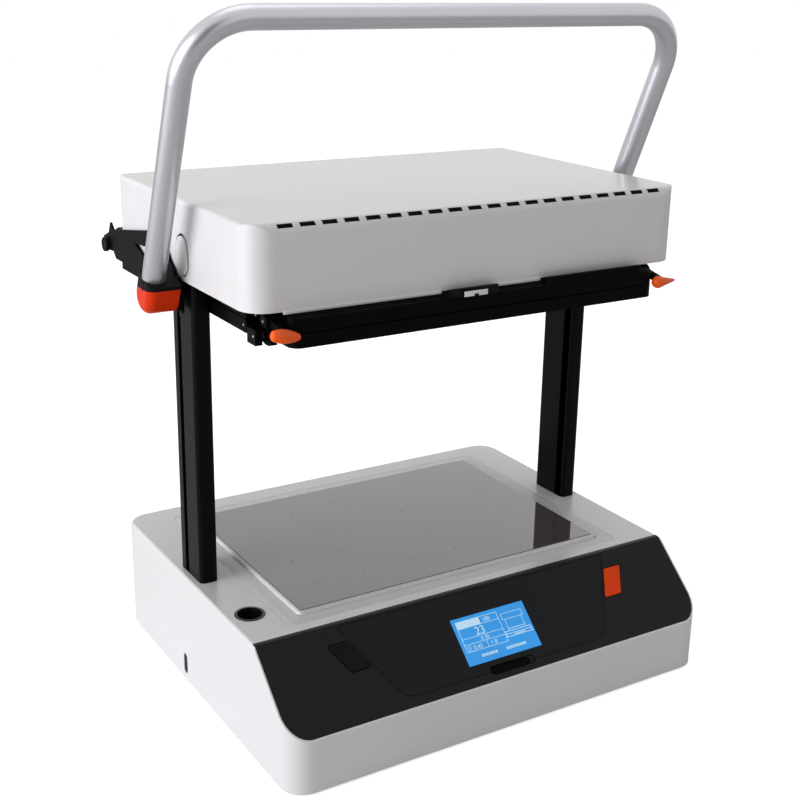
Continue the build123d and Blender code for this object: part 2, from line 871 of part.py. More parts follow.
with BuildPart() as heater_hood:
    add(hood_form(0))
    add(hood_inner, mode=Mode.SUBTRACT)
    with BuildSketch(vent_plane.offset(hood_edge / 2)):
        with GridLocations(vent_pitch, 0, vent_count, 1):
            Rectangle(vent_length, vent_width)
    extrude(amount=hood_edge, mode=Mode.SUBTRACT)
    for side in (-1, 1):
        with BuildSketch(Plane.YZ.offset(side * (hood_width / 2 - 2 * hood_wall))):
            with Locations((plug_y, plug_z)):
                SlotOverall(plug_height, plug_width, rotation=90)
        extrude(amount=side * hood_wall * 4, mode=Mode.SUBTRACT)
finish(heater_hood, "heater_hood")

with BuildPart() as hood_side_plugs:
    for side in (-1, 1):
        with BuildSketch(Plane.YZ.offset(side * (hood_width / 2 - hood_wall))):
            with Locations((plug_y, plug_z)):
                SlotOverall(plug_height - 2 * plug_gap, plug_width - 2 * plug_gap, rotation=90)
        extrude(amount=side * hood_wall)
        # inner flange that holds the plug against the wall from inside
        with BuildSketch(Plane.YZ.offset(side * (hood_width / 2 - hood_wall))):
            with Locations((plug_y, plug_z)):
                SlotOverall(plug_height + 1, plug_width + 1, rotation=90)
        extrude(amount=-side * 0.8)
finish(hood_side_plugs, "hood_side_plugs")

# ---------------------------------------------------------------- heater inside the hood
reflector_rim = 4.7
reflector_height = 46.0
reflector_over = 8.0
reflector_half_width = frame_half_width
reflector_half_depth = bed_depth / 2 + reflector_over
reflector_low = hood_low + reflector_rim
reflector_top = reflector_low + reflector_height
reflector_sheet = 1.5
element_radius = 5.0
element_over = 6.0
element_margin = 21.0
element_height = 22.0
element_count = 6
element_length = bed_width + 2 * element_over
element_pitch = (bed_depth - 2 * element_margin) / (element_count - 1)
element_z = reflector_low + element_height
holder_gap = 2.0
holder_x = element_length / 2 + holder_gap
holder_width = 8.0
holder_low = element_z - holder_width
holder_margin = 15.0
holder_half_depth = (element_count - 1) / 2 * element_pitch + holder_margin
lead_radius = 3.0
guard_rise = 3.0
guard_z = reflector_low + guard_rise
guard_wire = 1.8
guard_rim = 4.0
guard_columns = 8
guard_rows = 5

with BuildPart() as heater_reflector:
    with BuildSketch(Plane.XY.offset(reflector_low)):
        with Locations((0, column_line)):
            Rectangle(2 * reflector_half_width, 2 * reflector_half_depth)
    extrude(amount=reflector_top - reflector_low)
    with BuildSketch(Plane.XY.offset(reflector_low)):
        with Locations((0, column_line)):
            Rectangle(
                2 * (reflector_half_width - reflector_sheet), 2 * (reflector_half_depth - reflector_sheet)
            )
    extrude(amount=reflector_top - reflector_low - reflector_sheet, mode=Mode.SUBTRACT)
finish(heater_reflector, "heater_reflector")

with BuildPart() as insulation_board:
    with BuildSketch(Plane.XY.offset(reflector_top)):
        with Locations((0, column_line)):
            Rectangle(2 * reflector_half_width - 4, 2 * reflector_half_depth - 4)
    extrude(amount=hood_ceiling - reflector_top)
finish(insulation_board, "insulation_board")

with BuildPart() as heating_elements:
    for turn in range(element_count):
        line_y = column_line + (turn - (element_count - 1) / 2) * element_pitch
        add(rod((-element_length / 2, element_length / 2), line_y, element_z, element_radius))
        for side in (-1, 1):
            add(
                rod(
                    side_span(side, element_length / 2 - 1, holder_x + holder_width),
                    line_y,
                    element_z,
                    lead_radius,
                )
            )
finish(heating_elements, "heating_elements")

with BuildPart() as element_holders:
    for side in (-1, 1):
        add(
            block(
                side_span(side, holder_x, holder_x + holder_width),
                (column_line - holder_half_depth, column_line + holder_half_depth),
                (holder_low, reflector_top - reflector_sheet),
            )
        )
    for turn in range(element_count):
        line_y = column_line + (turn - (element_count - 1) / 2) * element_pitch
        add(
            rod(
                (-holder_x - holder_width - 1, holder_x + holder_width + 1),
                line_y,
                element_z,
                lead_radius + bore_gap,
            ),
            mode=Mode.SUBTRACT,
        )
finish(element_holders, "element_holders")

guard_half_width = reflector_half_width - reflector_sheet
guard_half_depth = reflector_half_depth - reflector_sheet
guard_pitch_x = 2 * guard_half_width / (guard_columns + 1)
guard_pitch_y = 2 * guard_half_depth / (guard_rows + 1)

with BuildPart() as heater_guard:
    with BuildSketch(Plane.XY.offset(guard_z)):
        with Locations((0, column_line)):
            Rectangle(2 * guard_half_width, 2 * guard_half_depth)
            Rectangle(
                2 * (guard_half_width - guard_rim), 2 * (guard_half_depth - guard_rim), mode=Mode.SUBTRACT
            )
            with GridLocations(guard_pitch_x, 0, guard_columns, 1):
                Rectangle(guard_wire, 2 * guard_half_depth - guard_rim)
            with GridLocations(0, guard_pitch_y, 1, guard_rows):
                Rectangle(2 * guard_half_width - guard_rim, guard_wire)
    extrude(amount=guard_wire)
finish(heater_guard, "heater_guard")

sensor_radius = 5.0
sensor_x = guard_pitch_x / 2
sensor_flange = 4.0
sensor_flange_height = 3.0

with BuildPart() as heat_sensor:
    with BuildSketch(Plane.XY.offset(guard_z + guard_wire)):
        with Locations((sensor_x, column_line)):
            Circle(sensor_radius)
    extrude(amount=reflector_top - reflector_sheet - guard_z - guard_wire)
    with BuildSketch(Plane.XY.offset(reflector_top - reflector_sheet - sensor_flange_height)):
        with Locations((sensor_x, column_line)):
            Circle(sensor_radius + sensor_flange)
    extrude(amount=sensor_flange_height)
finish(heat_sensor, "heat_sensor")

# ---------------------------------------------------------------- carriage: upper clamp frame
ear_thickness = 7.5
arm_thickness = 6.6
arm_gap = 0.9
arm_inner_x = column_inner_x
arm_outer_x = arm_inner_x + arm_thickness
ear_inner_x = arm_outer_x + arm_gap
ear_outer_x = ear_inner_x + ear_thickness
beam_thickness = 8.0
beam_height = 13.0
beam_gap = 2.0
beam_front = frame_back + beam_gap
beam_back = beam_front + beam_thickness
beam_top = upper_frame_top + beam_height
ear_top = hinge_z + 2 * hinge_eye
rear_plate_width = 12.0
rear_plate_front = frame_back - rear_plate_width
tab_depth = 3.0
tab_height = 6.2
tab_top = upper_frame_top + tab_height
catch_left = -35.6
catch_right = 8.9
guard_inset = 17.5
guard_length = 99.0
guard_right = frame_half_width - guard_inset
guard_left = guard_right - guard_length


def frame_ring(low, height, front_round):
    """A clamp frame ring round the bed opening, wider at the sides beside the columns."""
    with BuildPart() as ring:
        with BuildSketch(Plane.XY.offset(low)):
            with Locations((0, frame_mid_y)):
                RectangleRounded(2 * frame_half_width, frame_depth, front_round)
            with Locations((0, (side_rail_front + frame_back) / 2)):
                Rectangle(2 * side_rail_outer, frame_back - side_rail_front)
            with Locations((0, column_line)):
                Rectangle(2 * opening_half_width, 2 * opening_half_depth, mode=Mode.SUBTRACT)
        extrude(amount=height)
    return ring.part


with BuildPart() as upper_clamp_frame:
    add(frame_ring(upper_frame_low, upper_frame_thickness, frame_corner))
    add(
        block(
            (-ear_outer_x, ear_outer_x),
            (rear_plate_front, beam_back),
            (upper_frame_low, upper_frame_top),
        )
    )
    add(block((-ear_outer_x, ear_outer_x), (beam_front, beam_back), (upper_frame_top, beam_top)))
    for side in (-1, 1):
        with BuildSketch(Plane.YZ.offset(side * ear_inner_x)):
            with BuildLine():
                Polyline(
                    (beam_front, upper_frame_low),
                    (hinge_y, upper_frame_low),
                    (hinge_y + hinge_eye + 2, hinge_z - 4),
                    (hinge_y + hinge_eye + 2, hinge_z + 4),
                    (hinge_y, ear_top - 4),
                    (beam_back, ear_top),
                    (beam_front, ear_top),
                    close=True,
                )
            make_face()
        extrude(amount=side * (ear_outer_x - ear_inner_x))
        add(
            rod(
                side_span(side, ear_inner_x - 1, ear_outer_x + 1),
                hinge_y,
                hinge_z,
                hinge_pin_radius + bore_gap,
            ),
            mode=Mode.SUBTRACT,
        )
    # the raised guard on the front edge
    tab_span = (frame_front, frame_front + tab_depth)
    add(block((guard_left, guard_right), tab_span, (upper_frame_top, tab_top)))
finish(upper_clamp_frame, "upper_clamp_frame")

catch_plate_left = -23.2
catch_plate_right = -1.9
catch_plate_drop = 2.2
catch_plate_height = 6.5
catch_plate_high = tab_top - catch_plate_drop
catch_plate_low = catch_plate_high - catch_plate_height
catch_plate_proud = 0.8

with BuildPart() as front_catch:
    add(block((catch_left, catch_right), tab_span, (upper_frame_top, tab_top)))
finish(front_catch, "front_catch")

with BuildPart() as catch_plate:
    add(
        block(
            (catch_plate_left, catch_plate_right),
            (frame_front - catch_plate_proud, frame_front),
            (catch_plate_low, catch_plate_high),
        )
    )
finish(catch_plate, "catch_plate")

# ---------------------------------------------------------------- carriage: sliders
bush_x = column_width - 2 * column_wall - 2 * slide_gap
bush_y = column_depth - 2 * column_wall - 2 * slide_gap
slider_arm_low = upper_frame_low + seam
slider_lug_height = 3.4
slider_lug_top = upper_frame_top + slider_lug_height
slider_lug_half = 13.0
hood_side_gap = 1.2
hub_gap = 1.0
slider_plate_inner = hood_width / 2 + hood_side_gap
slider_plate_outer = hub_inner_x - hub_gap
slider_plate_half = 14.0
slider_plate_low = pivot_z - slider_plate_half
slider_plate_high = pivot_z + slider_plate_half
slider_plate_round = 9.0
bracket_thickness = 2.0
bracket_outer_x = slider_plate_inner + bracket_thickness
pivot_pin_radius = 5.0
pivot_pin_cover = 3.0
pivot_pin_end = hub_outer_x - pivot_pin_cover

# side view of the bracket that carries the rear hinge: its lower and upper edges, as steps back from
# the column or from the hinge, and up from the foot of the slider plate
bracket_front_upper = ((-14.0, 0.0), (-14.0, 17.0), (1.0, 32.0), (9.0, 37.0), (25.0, 54.0), (57.0, 53.0))
bracket_rear_upper = ((-16.0, 39.0), (-10.0, 44.5), (-5.0, 35.0), (8.5, 29.5))
bracket_rear_lower = ((8.5, 18.5), (-18.0, 20.0), (-42.0, 16.0), (-70.0, 12.5))
bracket_front_lower = ((57.0, 5.5), (33.0, 0.0))
bracket_window = ((86.0, 37.0), (33.0, 41.0), (33.0, 16.0))


def bracket_points(steps, start_y):
    """The points of one edge of the bracket in the side view."""
    return [(start_y + back, slider_plate_low + up) for back, up in steps]


def slider(side, label):
    """One slider: block in the column, an arm through each slot, plate and hinge bracket outside."""
    with BuildPart() as piece:
        add(
            block(
                side_span(side, column_x - bush_x / 2 + gap, column_x + bush_x / 2 - gap),
                (column_mid - bush_y / 2 + gap, column_mid + bush_y / 2 - gap),
                (slider_block_low, slider_block_high),
            )
        )
        for slot_y, width, end_x in (
            (outer_slot_y, outer_slot, slider_plate_inner + hub_gap),
            (inner_slot_y, inner_slot, side_rail_outer),
        ):
            add(
                block(
                    side_span(side, column_x, end_x),
                    (slot_y - width / 2 + gap, slot_y + width / 2 - gap),
                    (slider_arm_low, slider_lug_top),
                )
            )
        # lug that lies on the clamp frame's side rail
        add(
            block(
                side_span(side, frame_half_width, side_rail_outer),
                (inner_slot_y - slider_lug_half, inner_slot_y + slider_lug_half),
                (upper_frame_top, slider_lug_top),
            )
        )
        with BuildSketch(Plane.YZ.offset(side * slider_plate_inner)):
            with Locations((column_line, (slider_plate_low + slider_plate_high) / 2)):
                RectangleRounded(
                    2 * slider_plate_half, slider_plate_high - slider_plate_low, slider_plate_round
                )
        extrude(amount=side * (slider_plate_outer - slider_plate_inner))
        with BuildSketch(Plane.YZ.offset(side * slider_plate_inner)):
            with BuildLine():
                Polyline(
                    *bracket_points(bracket_front_upper, column_line),
                    *bracket_points(bracket_rear_upper, hinge_y),
                    *bracket_points(bracket_rear_lower, hinge_y),
                    *bracket_points(bracket_front_lower, column_line),
                    close=True,
                )
            make_face()
            with BuildLine():
                Polyline(*bracket_points(bracket_window, column_line), close=True)
            make_face(mode=Mode.SUBTRACT)
            with Locations((hinge_y, hinge_z)):
                Circle(hinge_pin_radius + bore_gap, mode=Mode.SUBTRACT)
        extrude(amount=side * bracket_thickness)
    finish(piece, label)


slider(-1, "left_slider")
slider(1, "right_slider")

with BuildPart() as slider_bushes:
    for side in (-1, 1):
        for low in (slider_block_low - bush_height, slider_block_high):
            with BuildSketch(Plane.XY.offset(low)):
                with Locations((side * column_x, column_mid)):
                    RectangleRounded(bush_x, bush_y, 1)
            extrude(amount=bush_height)
finish(slider_bushes, "slider_bushes")

with BuildPart() as pivot_pins:
    for side in (-1, 1):
        add(rod(side_span(side, hub_inner_x - 1, pivot_pin_end), pivot_y, pivot_z, pivot_pin_radius))
finish(pivot_pins, "pivot_pins")

knob_radius = 7.5
knob_height = 4.0
knob_outer_x = bracket_outer_x + knob_height
spacer_radius = 5.0

with BuildPart() as hinge_pins:
    for side in (-1, 1):
        add(rod(side_span(side, arm_inner_x - 1, bracket_outer_x), hinge_y, hinge_z, hinge_pin_radius))
        add(rod(side_span(side, ear_outer_x, slider_plate_inner), hinge_y, hinge_z, spacer_radius))
        add(rod(side_span(side, bracket_outer_x, knob_outer_x), hinge_y, hinge_z, knob_radius))
finish(hinge_pins, "hinge_pins")

latch_boss_radius = 6.0
latch_boss_length = 3.8
latch_plate_thickness = 5.0
latch_head_height = 2.2
latch_head_radius = 5.0
latch_boss_outer = frame_half_width + latch_boss_length
latch_plate_inner = latch_boss_outer + slide_gap
latch_plate_outer = latch_plate_inner + latch_plate_thickness
latch_head_inner = latch_plate_outer + gap
latch_pin_end = latch_head_inner + latch_head_height

with BuildPart() as latch_pivots:
    for side in (-1, 1):
        add(rod(side_span(side, frame_half_width, latch_boss_outer), latch_y, latch_z, latch_boss_radius))
        add(rod(side_span(side, latch_boss_outer, latch_pin_end), latch_y, latch_z, latch_pin_radius))
        add(
            rod(
                side_span(side, latch_head_inner, latch_pin_end),
                latch_y,
                latch_z,
                latch_head_radius,
            )
        )
finish(latch_pivots, "latch_pivots")

# ---------------------------------------------------------------- handle
lean = radians(handle_lean)
leg_up = (0, -sin(lean), cos(lean))
leg_foot = (0, pivot_y, pivot_z)
tube_start = 6.5
collar_top = 16.5
collar_edge = 1.0
cap_split = 6.4
hub_rim = 7.0
cap_split_z = pivot_z + cap_split

handle_plane = Plane(origin=(0, pivot_y, pivot_z), x_dir=(1, 0, 0), z_dir=(0, -cos(lean), -sin(lean)))
leg_plane = Plane(
    origin=(-handle_half_width, pivot_y, pivot_z), x_dir=(1, 0, 0), z_dir=leg_up
)

with BuildPart() as handle_tube:
    with BuildLine(handle_plane):
        FilletPolyline(
            (-handle_half_width, tube_start),
            (-handle_half_width, handle_reach),
            (handle_half_width, handle_reach),
            (handle_half_width, tube_start),
            radius=handle_bend,
        )
    with BuildSketch(leg_plane.offset(tube_start)):
        Circle(handle_radius)
        Circle(handle_bore, mode=Mode.SUBTRACT)
    sweep()
finish(handle_tube, "handle_tube")


def hub_body(side):
    """The whole hub at the foot of one handle leg: round below, flat across the leg on top."""
    plane = Plane(
        origin=(side * hub_inner_x, pivot_y, pivot_z),
        x_dir=(0, cos(lean), sin(lean)),
        z_dir=(side, 0, 0),
    )
    with BuildPart() as hub:
        with BuildSketch(plane):
            Circle(hub_radius)
            with Locations((0, side * collar_top / 2)):
                Rectangle(2 * hub_radius, collar_top)
        extrude(amount=hub_outer_x - hub_inner_x)
        outer_face = hub.faces().sort_by(Axis.X)[-1 if side > 0 else 0]
        top_line = outer_face.edges().sort_by(Axis(leg_foot, leg_up))[-1]
        fillet([edge for edge in outer_face.edges() if edge != top_line], hub_rim)
    return hub.part


def hub_half(side, upper):
    """A block above or below the level where the hub is split."""
    far_z = cap_split_z + 3 * hub_radius if upper else cap_split_z - 3 * hub_radius
    return block(
        side_span(side, hub_inner_x - 1, hub_outer_x + 1),
        (pivot_y - 3 * hub_radius, pivot_y + 3 * hub_radius),
        (cap_split_z, far_z),
    )


def tube_hole(side):
    """The round seat of one handle leg."""
    plane = Plane(origin=(side * handle_half_width, pivot_y, pivot_z), x_dir=(1, 0, 0), z_dir=leg_up)
    with BuildPart() as hole:
        with BuildSketch(plane.offset(tube_start)):
            Circle(handle_radius + bore_gap)
        extrude(amount=collar_top)
    return hole.part


def handle_socket(side, label):
    """The dark collar that holds the foot of the tube."""
    with BuildPart() as socket:
        add(hub_body(side))
        add(hub_half(side, True), mode=Mode.INTERSECT)
        add(tube_hole(side), mode=Mode.SUBTRACT)
    finish(socket, label)


def end_cap(side, label):
    """The coloured lower part of the hub, which turns on the pivot pin."""
    with BuildPart() as cap:
        add(hub_body(side))
        add(hub_half(side, False), mode=Mode.INTERSECT)
        add(tube_hole(side), mode=Mode.SUBTRACT)
        add(
            rod(
                side_span(side, hub_inner_x - 1, pivot_pin_end + gap),
                pivot_y,
                pivot_z,
                pivot_pin_radius + bore_gap,
            ),
            mode=Mode.SUBTRACT,
        )
    finish(cap, label)


handle_socket(-1, "left_handle_socket")
handle_socket(1, "right_handle_socket")
end_cap(-1, "left_end_cap")
end_cap(1, "right_end_cap")

# ---------------------------------------------------------------- lower clamp frame
seal_width = 14.0
seal_top_height = 0.8
keeper_block_outer = arm_outer_x
keeper_block_drop = 1.3
keeper_block_low = frame_low - keeper_block_drop
keeper_block_behind = 7.0
keeper_block_thickness = 4.0
keeper_cheek_ahead = 3.0
keeper_block_front = keeper_y + keeper_block_behind
keeper_cheek_front = keeper_y - keeper_cheek_ahead
keeper_block_back = keeper_block_front + keeper_block_thickness
keeper_cheek_inner = latch_pin_end + gap

with BuildPart() as lower_clamp_frame:
    add(frame_ring(frame_low, lower_frame_thickness, frame_corner))
    add(block((-arm_outer_x, arm_outer_x), (rear_plate_front, frame_back), (frame_low, lower_frame_top)))
    for side in (-1, 1):
        span = side_span(side, arm_inner_x, arm_outer_x)
        add(block(span, (rear_plate_front, hinge_y + hinge_eye), (frame_low, lower_frame_top)))
        add(block(span, (hinge_y - hinge_eye, hinge_y + hinge_eye), (frame_low, hinge_z)))
        add(rod(span, hinge_y, hinge_z, hinge_eye))
        add(
            rod(
                side_span(side, arm_inner_x - 1, arm_outer_x + 1),
                hinge_y,
                hinge_z,
                hinge_pin_radius + bore_gap,
            ),
            mode=Mode.SUBTRACT,
        )
        # block and cheek that carry the outer end of the keeper pin, short enough to swing down
        # past the front of the column
        cheek = (keeper_cheek_inner, keeper_cheek_front)
        for inner, front in ((frame_half_width, keeper_block_front), cheek):
            add(
                block(
                    side_span(side, inner, keeper_block_outer),
                    (front, keeper_block_back),
                    (keeper_block_low, lower_frame_top),
                )
            )
finish(lower_clamp_frame, "lower_clamp_frame")

with BuildPart() as clamp_seals:
    # soft strip on the top of the lower frame, and the sealing strip under it
    for low, height in ((lower_frame_top, seal_top_height), (frame_low - pad_height, pad_height)):
        with BuildSketch(Plane.XY.offset(low)):
            with Locations((0, column_line)):
                Rectangle(2 * (opening_half_width + seal_width), 2 * (opening_half_depth + seal_width))
                Rectangle(2 * opening_half_width + 1, 2 * opening_half_depth + 1, mode=Mode.SUBTRACT)
        extrude(amount=height)
finish(clamp_seals, "clamp_seals")

with BuildPart() as keeper_pins:
    for side in (-1, 1):
        add(rod(side_span(side, frame_half_width, keeper_cheek_inner), keeper_y, keeper_z, keeper_radius))
finish(keeper_pins, "keeper_pins")

# ---------------------------------------------------------------- front latches
hub_outer = 6.5
claw_inner = 14.8
claw_outer = 18.4
claw_from = -115.0
claw_to = -66.0
claw_arm_to = -97.0
lever_reach = 28.0
lever_half = 3.6
lever_tip_half = 2.0
grip_drop = 4.0
grip_length = 24.0
grip_overlap = 5.0
grip_z = latch_z - grip_drop
grip_inner_x = frame_half_width - grip_overlap
grip_outer_x = grip_inner_x + grip_length
left_fat_radius = 6.2
left_thin_radius = 3.3
right_fat_radius = 5.2
right_thin_radius = 1.2
tang_radius = 1.5
tang_inner_x = latch_plate_inner - 5.0
tang_outer_x = latch_plate_outer + 2.0


def arc_sector(inner, outer, start, end):
    """A flat ring sector about the latch pivot, drawn in the side view."""
    steps = 8
    angles = [radians(start + (end - start) * step / steps) for step in range(steps + 1)]
    outer_points = [(latch_y + outer * cos(a), latch_z + outer * sin(a)) for a in angles]
    inner_points = [(latch_y + inner * cos(a), latch_z + inner * sin(a)) for a in reversed(angles)]
    with BuildSketch() as sector:
        with BuildLine():
            Polyline(*outer_points, *inner_points, close=True)
        make_face()
    return sector.sketch


def lever_arm(grow):
    """The lever arm's side view, tapering towards the grip, grown by grow."""
    with BuildSketch() as arm:
        with BuildLine():
            Polyline(
                (latch_y, latch_z + lever_half + grow),
                (latch_y - lever_reach, grip_z + lever_tip_half + grow),
                (latch_y - lever_reach, grip_z - lever_tip_half - grow),
                (latch_y, latch_z - lever_half - grow),
                close=True,
            )
        make_face()
    return arm.sketch


def latch_lever(side, label):
    """One latch lever: hub, claw behind the keeper and the arm to the grip."""
    with BuildPart() as lever:
        with BuildSketch(Plane.YZ.offset(side * latch_plate_inner)):
            with Locations((latch_y, latch_z)):
                Circle(hub_outer)
            add(arc_sector(claw_inner, claw_outer, claw_from, claw_to))
            add(arc_sector(hub_outer / 2, claw_outer, claw_from, claw_arm_to))
            add(lever_arm(0))
            with Locations((latch_y, latch_z)):
                Circle(latch_pin_radius + bore_gap, mode=Mode.SUBTRACT)
        extrude(amount=side * latch_plate_thickness)
        # cross tang that the grip is moulded on
        add(rod(side_span(side, tang_inner_x, tang_outer_x), latch_y - lever_reach, grip_z, tang_radius))
    finish(lever, label)


def latch_grip(side, label, fat_x, fat_radius, thin_x, thin_radius):
    """The coloured drop-shaped grip on the end of one latch lever, given from end to end."""
    way = 1 if thin_x > fat_x else -1
    fat_middle = fat_x + way * fat_radius
    thin_middle = thin_x - way * thin_radius
    taper = asin((fat_radius - thin_radius) / abs(thin_middle - fat_middle))
    fat_half = (radians(90) + taper) / 2
    thin_half = (radians(90) - taper) / 2
    middle_y = latch_y - lever_reach
    with BuildPart() as grip:
        with BuildSketch(Plane(origin=(0, middle_y, grip_z), x_dir=(1, 0, 0), z_dir=(0, 0, 1))):
            with BuildLine():
                fat_end = ThreePointArc(
                    (fat_x, 0),
                    (fat_middle - way * fat_radius * cos(fat_half), fat_radius * sin(fat_half)),
                    (fat_middle + way * fat_radius * sin(taper), fat_radius * cos(taper)),
                )
                thin_end = ThreePointArc(
                    (thin_middle + way * thin_radius * sin(taper), thin_radius * cos(taper)),
                    (thin_middle + way * thin_radius * cos(thin_half), thin_radius * sin(thin_half)),
                    (thin_x, 0),
                )
                Line(fat_end @ 1, thin_end @ 0)
                Line(thin_end @ 1, fat_end @ 0)
            make_face()
        revolve(axis=Axis((0, middle_y, grip_z), (1, 0, 0)))
        with BuildSketch(Plane.YZ.offset(side * (latch_plate_inner - bore_gap))):
            add(lever_arm(seam))
        extrude(amount=side * (latch_plate_thickness + 2 * bore_gap), mode=Mode.SUBTRACT)
        add(
            rod(
                side_span(side, tang_inner_x - bore_gap, tang_outer_x + bore_gap),
                middle_y,
                grip_z,
                tang_radius + bore_gap,
            ),
            mode=Mode.SUBTRACT,
        )
    finish(grip, label)


latch_lever(-1, "left_latch_lever")
latch_lever(1, "right_latch_lever")
latch_grip(-1, "left_latch_grip", -grip_outer_x, left_fat_radius, -grip_inner_x, left_thin_radius)
latch_grip(1, "right_latch_grip", grip_inner_x, right_fat_radius, grip_outer_x, right_thin_radius)
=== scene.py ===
import bpy
from math import atan2, cos, hypot, pi, radians, sin
from mathutils import Matrix, Vector


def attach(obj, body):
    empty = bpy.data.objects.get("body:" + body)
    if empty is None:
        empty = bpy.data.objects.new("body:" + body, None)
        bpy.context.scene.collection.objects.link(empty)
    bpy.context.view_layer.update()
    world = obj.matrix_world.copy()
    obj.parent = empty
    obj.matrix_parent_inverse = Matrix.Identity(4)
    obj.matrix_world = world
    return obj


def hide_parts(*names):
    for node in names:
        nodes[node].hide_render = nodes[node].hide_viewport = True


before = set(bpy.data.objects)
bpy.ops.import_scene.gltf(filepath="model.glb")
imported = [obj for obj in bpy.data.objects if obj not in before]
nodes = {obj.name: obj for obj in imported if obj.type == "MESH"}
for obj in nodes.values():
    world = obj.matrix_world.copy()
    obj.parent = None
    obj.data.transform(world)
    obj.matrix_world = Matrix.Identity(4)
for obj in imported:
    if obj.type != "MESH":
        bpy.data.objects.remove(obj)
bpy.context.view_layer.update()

MM = 0.001

# ---- camera and stage
# The camera stands to the left of the machine, above it, with little turn about its own axis.
CAMERA_PLACE = Vector((-580.4, -920.0, 603.5)) * MM
CAMERA_TURN = -0.557
CAMERA_DIP = 0.313
CAMERA_ROLL = -0.019
LENS_MM = 58.75
SHIFT_X = -0.0045
SHIFT_Y = -0.022

right = Vector((cos(CAMERA_TURN), sin(CAMERA_TURN), 0))
level = cos(CAMERA_DIP)
ahead = Vector((-sin(CAMERA_TURN) * level, cos(CAMERA_TURN) * level, -sin(CAMERA_DIP)))
down = ahead.cross(right)
rolled_right = right * cos(CAMERA_ROLL) + down * sin(CAMERA_ROLL)
rolled_down = down * cos(CAMERA_ROLL) - right * sin(CAMERA_ROLL)

camera_data = bpy.data.cameras.new("camera")
camera_data.lens = LENS_MM
camera_data.sensor_width = 36
camera_data.shift_x = SHIFT_X
camera_data.shift_y = SHIFT_Y
camera_data.clip_start = 0.05
camera = bpy.data.objects.new("camera", camera_data)
turn = Matrix((rolled_right, -rolled_down, -ahead)).transposed()
camera.matrix_world = Matrix.Translation(CAMERA_PLACE) @ turn.to_4x4()
bpy.context.scene.collection.objects.link(camera)
bpy.context.scene.camera = camera
bpy.context.scene.view_settings.view_transform = "Standard"


# ---- material helpers
def colour(code):
    """A colour from its sRGB hex code, as linear values."""
    parts = [int(code[at:at + 2], 16) / 255 for at in (1, 3, 5)]
    linear = [v / 12.92 if v <= 0.04045 else ((v + 0.055) / 1.055) ** 2.4 for v in parts]
    return (*linear, 1.0)


def add_node(tree, kind, settings=None, links=None):
    """Adds one node with its settings (sockets by name, or its own properties) and its links."""
    made = tree.nodes.new(kind)
    for key, value in (settings or {}).items():
        if isinstance(key, int) or key in made.inputs.keys() and not hasattr(type(made), key):
            made.inputs[key].default_value = value
        else:
            setattr(made, key, value)
    for key, source in (links or {}).items():
        tree.links.new(source, made.inputs[key])
    return made


def new_material(name):
    """An empty node material and its output node."""
    made = bpy.data.materials.new(name)
    made.use_nodes = True
    made.node_tree.nodes.clear()
    output = made.node_tree.nodes.new("ShaderNodeOutputMaterial")
    return made, made.node_tree, output


def colour_of(mix):
    """The colour output of a Mix node, which has one output of the same name for each kind."""
    return next(socket for socket in mix.outputs if socket.type == "RGBA" and socket.enabled)


# Noise stays mostly between these values, so they are spread over the range that is wanted.
NOISE_RANGE = {"From Min": 0.3, "From Max": 0.7}
BLOTCH_MM = 60.0


def finish_material(
    name, base, rough, metal=0.0, spread=0.03, grain_mm=1.2, grain_depth_mm=0.01,
    tint=0.03, coat=0.0, coat_rough=0.1, specular=0.5, stretch=(1, 1, 1), sheen=0.0,
):
    """A surface with a fine grain in its bump and roughness and a slow drift in its colour.

    spread is how far the roughness wanders, tint how far the colour does; the grain has its real
    size in millimetres, and stretch turns it into brushing.
    """
    made, tree, output = new_material(name)
    place = add_node(tree, "ShaderNodeTexCoord")
    mapping = add_node(
        tree, "ShaderNodeMapping", {"Scale": stretch}, {"Vector": place.outputs["Object"]}
    )
    grain = add_node(
        tree, "ShaderNodeTexNoise",
        {"Scale": 1 / (grain_mm * MM), "Detail": 3.0, "Roughness": 0.55},
        {"Vector": mapping.outputs["Vector"]},
    )
    drift = add_node(
        tree, "ShaderNodeTexNoise", {"Scale": 1 / (BLOTCH_MM * MM), "Detail": 2.0},
        {"Vector": place.outputs["Object"]},
    )
    ramp = add_node(
        tree, "ShaderNodeMapRange", {**NOISE_RANGE, "To Min": 1 - tint, "To Max": 1.0},
        {"Value": drift.outputs["Fac"]},
    )
    paint = add_node(tree, "ShaderNodeMix", {"data_type": "RGBA", "blend_type": "MULTIPLY"})
    paint.inputs["Factor"].default_value = 1.0
    paint.inputs["A"].default_value = colour(base)
    tree.links.new(ramp.outputs["Result"], paint.inputs["B"])
    rough_range = add_node(
        tree, "ShaderNodeMapRange",
        {**NOISE_RANGE, "To Min": rough - spread, "To Max": rough + spread},
        {"Value": grain.outputs["Fac"]},
    )
    bump = add_node(
        tree, "ShaderNodeBump", {"Strength": 0.5, "Distance": grain_depth_mm * MM},
        {"Height": grain.outputs["Fac"]},
    )
    shader = add_node(
        tree, "ShaderNodeBsdfPrincipled",
        {
            "Metallic": metal, "Specular IOR Level": specular, "Coat Weight": coat,
            "Coat Roughness": coat_rough, "Sheen Weight": sheen,
        },
        {"Normal": bump.outputs["Normal"], "Roughness": rough_range.outputs["Result"]},
    )
    tree.links.new(colour_of(paint), shader.inputs["Base Color"])
    tree.links.new(shader.outputs["BSDF"], output.inputs["Surface"])
    return made


# Powder-coated sheet steel: a hard, slightly glossy white with the faint orange peel of the powder.
powder_white = finish_material(
    "powder_coated_steel_white", "#E4E4E6", 0.30, grain_mm=1.6, grain_depth_mm=0.012, tint=0.012,
    coat=0.25, coat_rough=0.12,
)
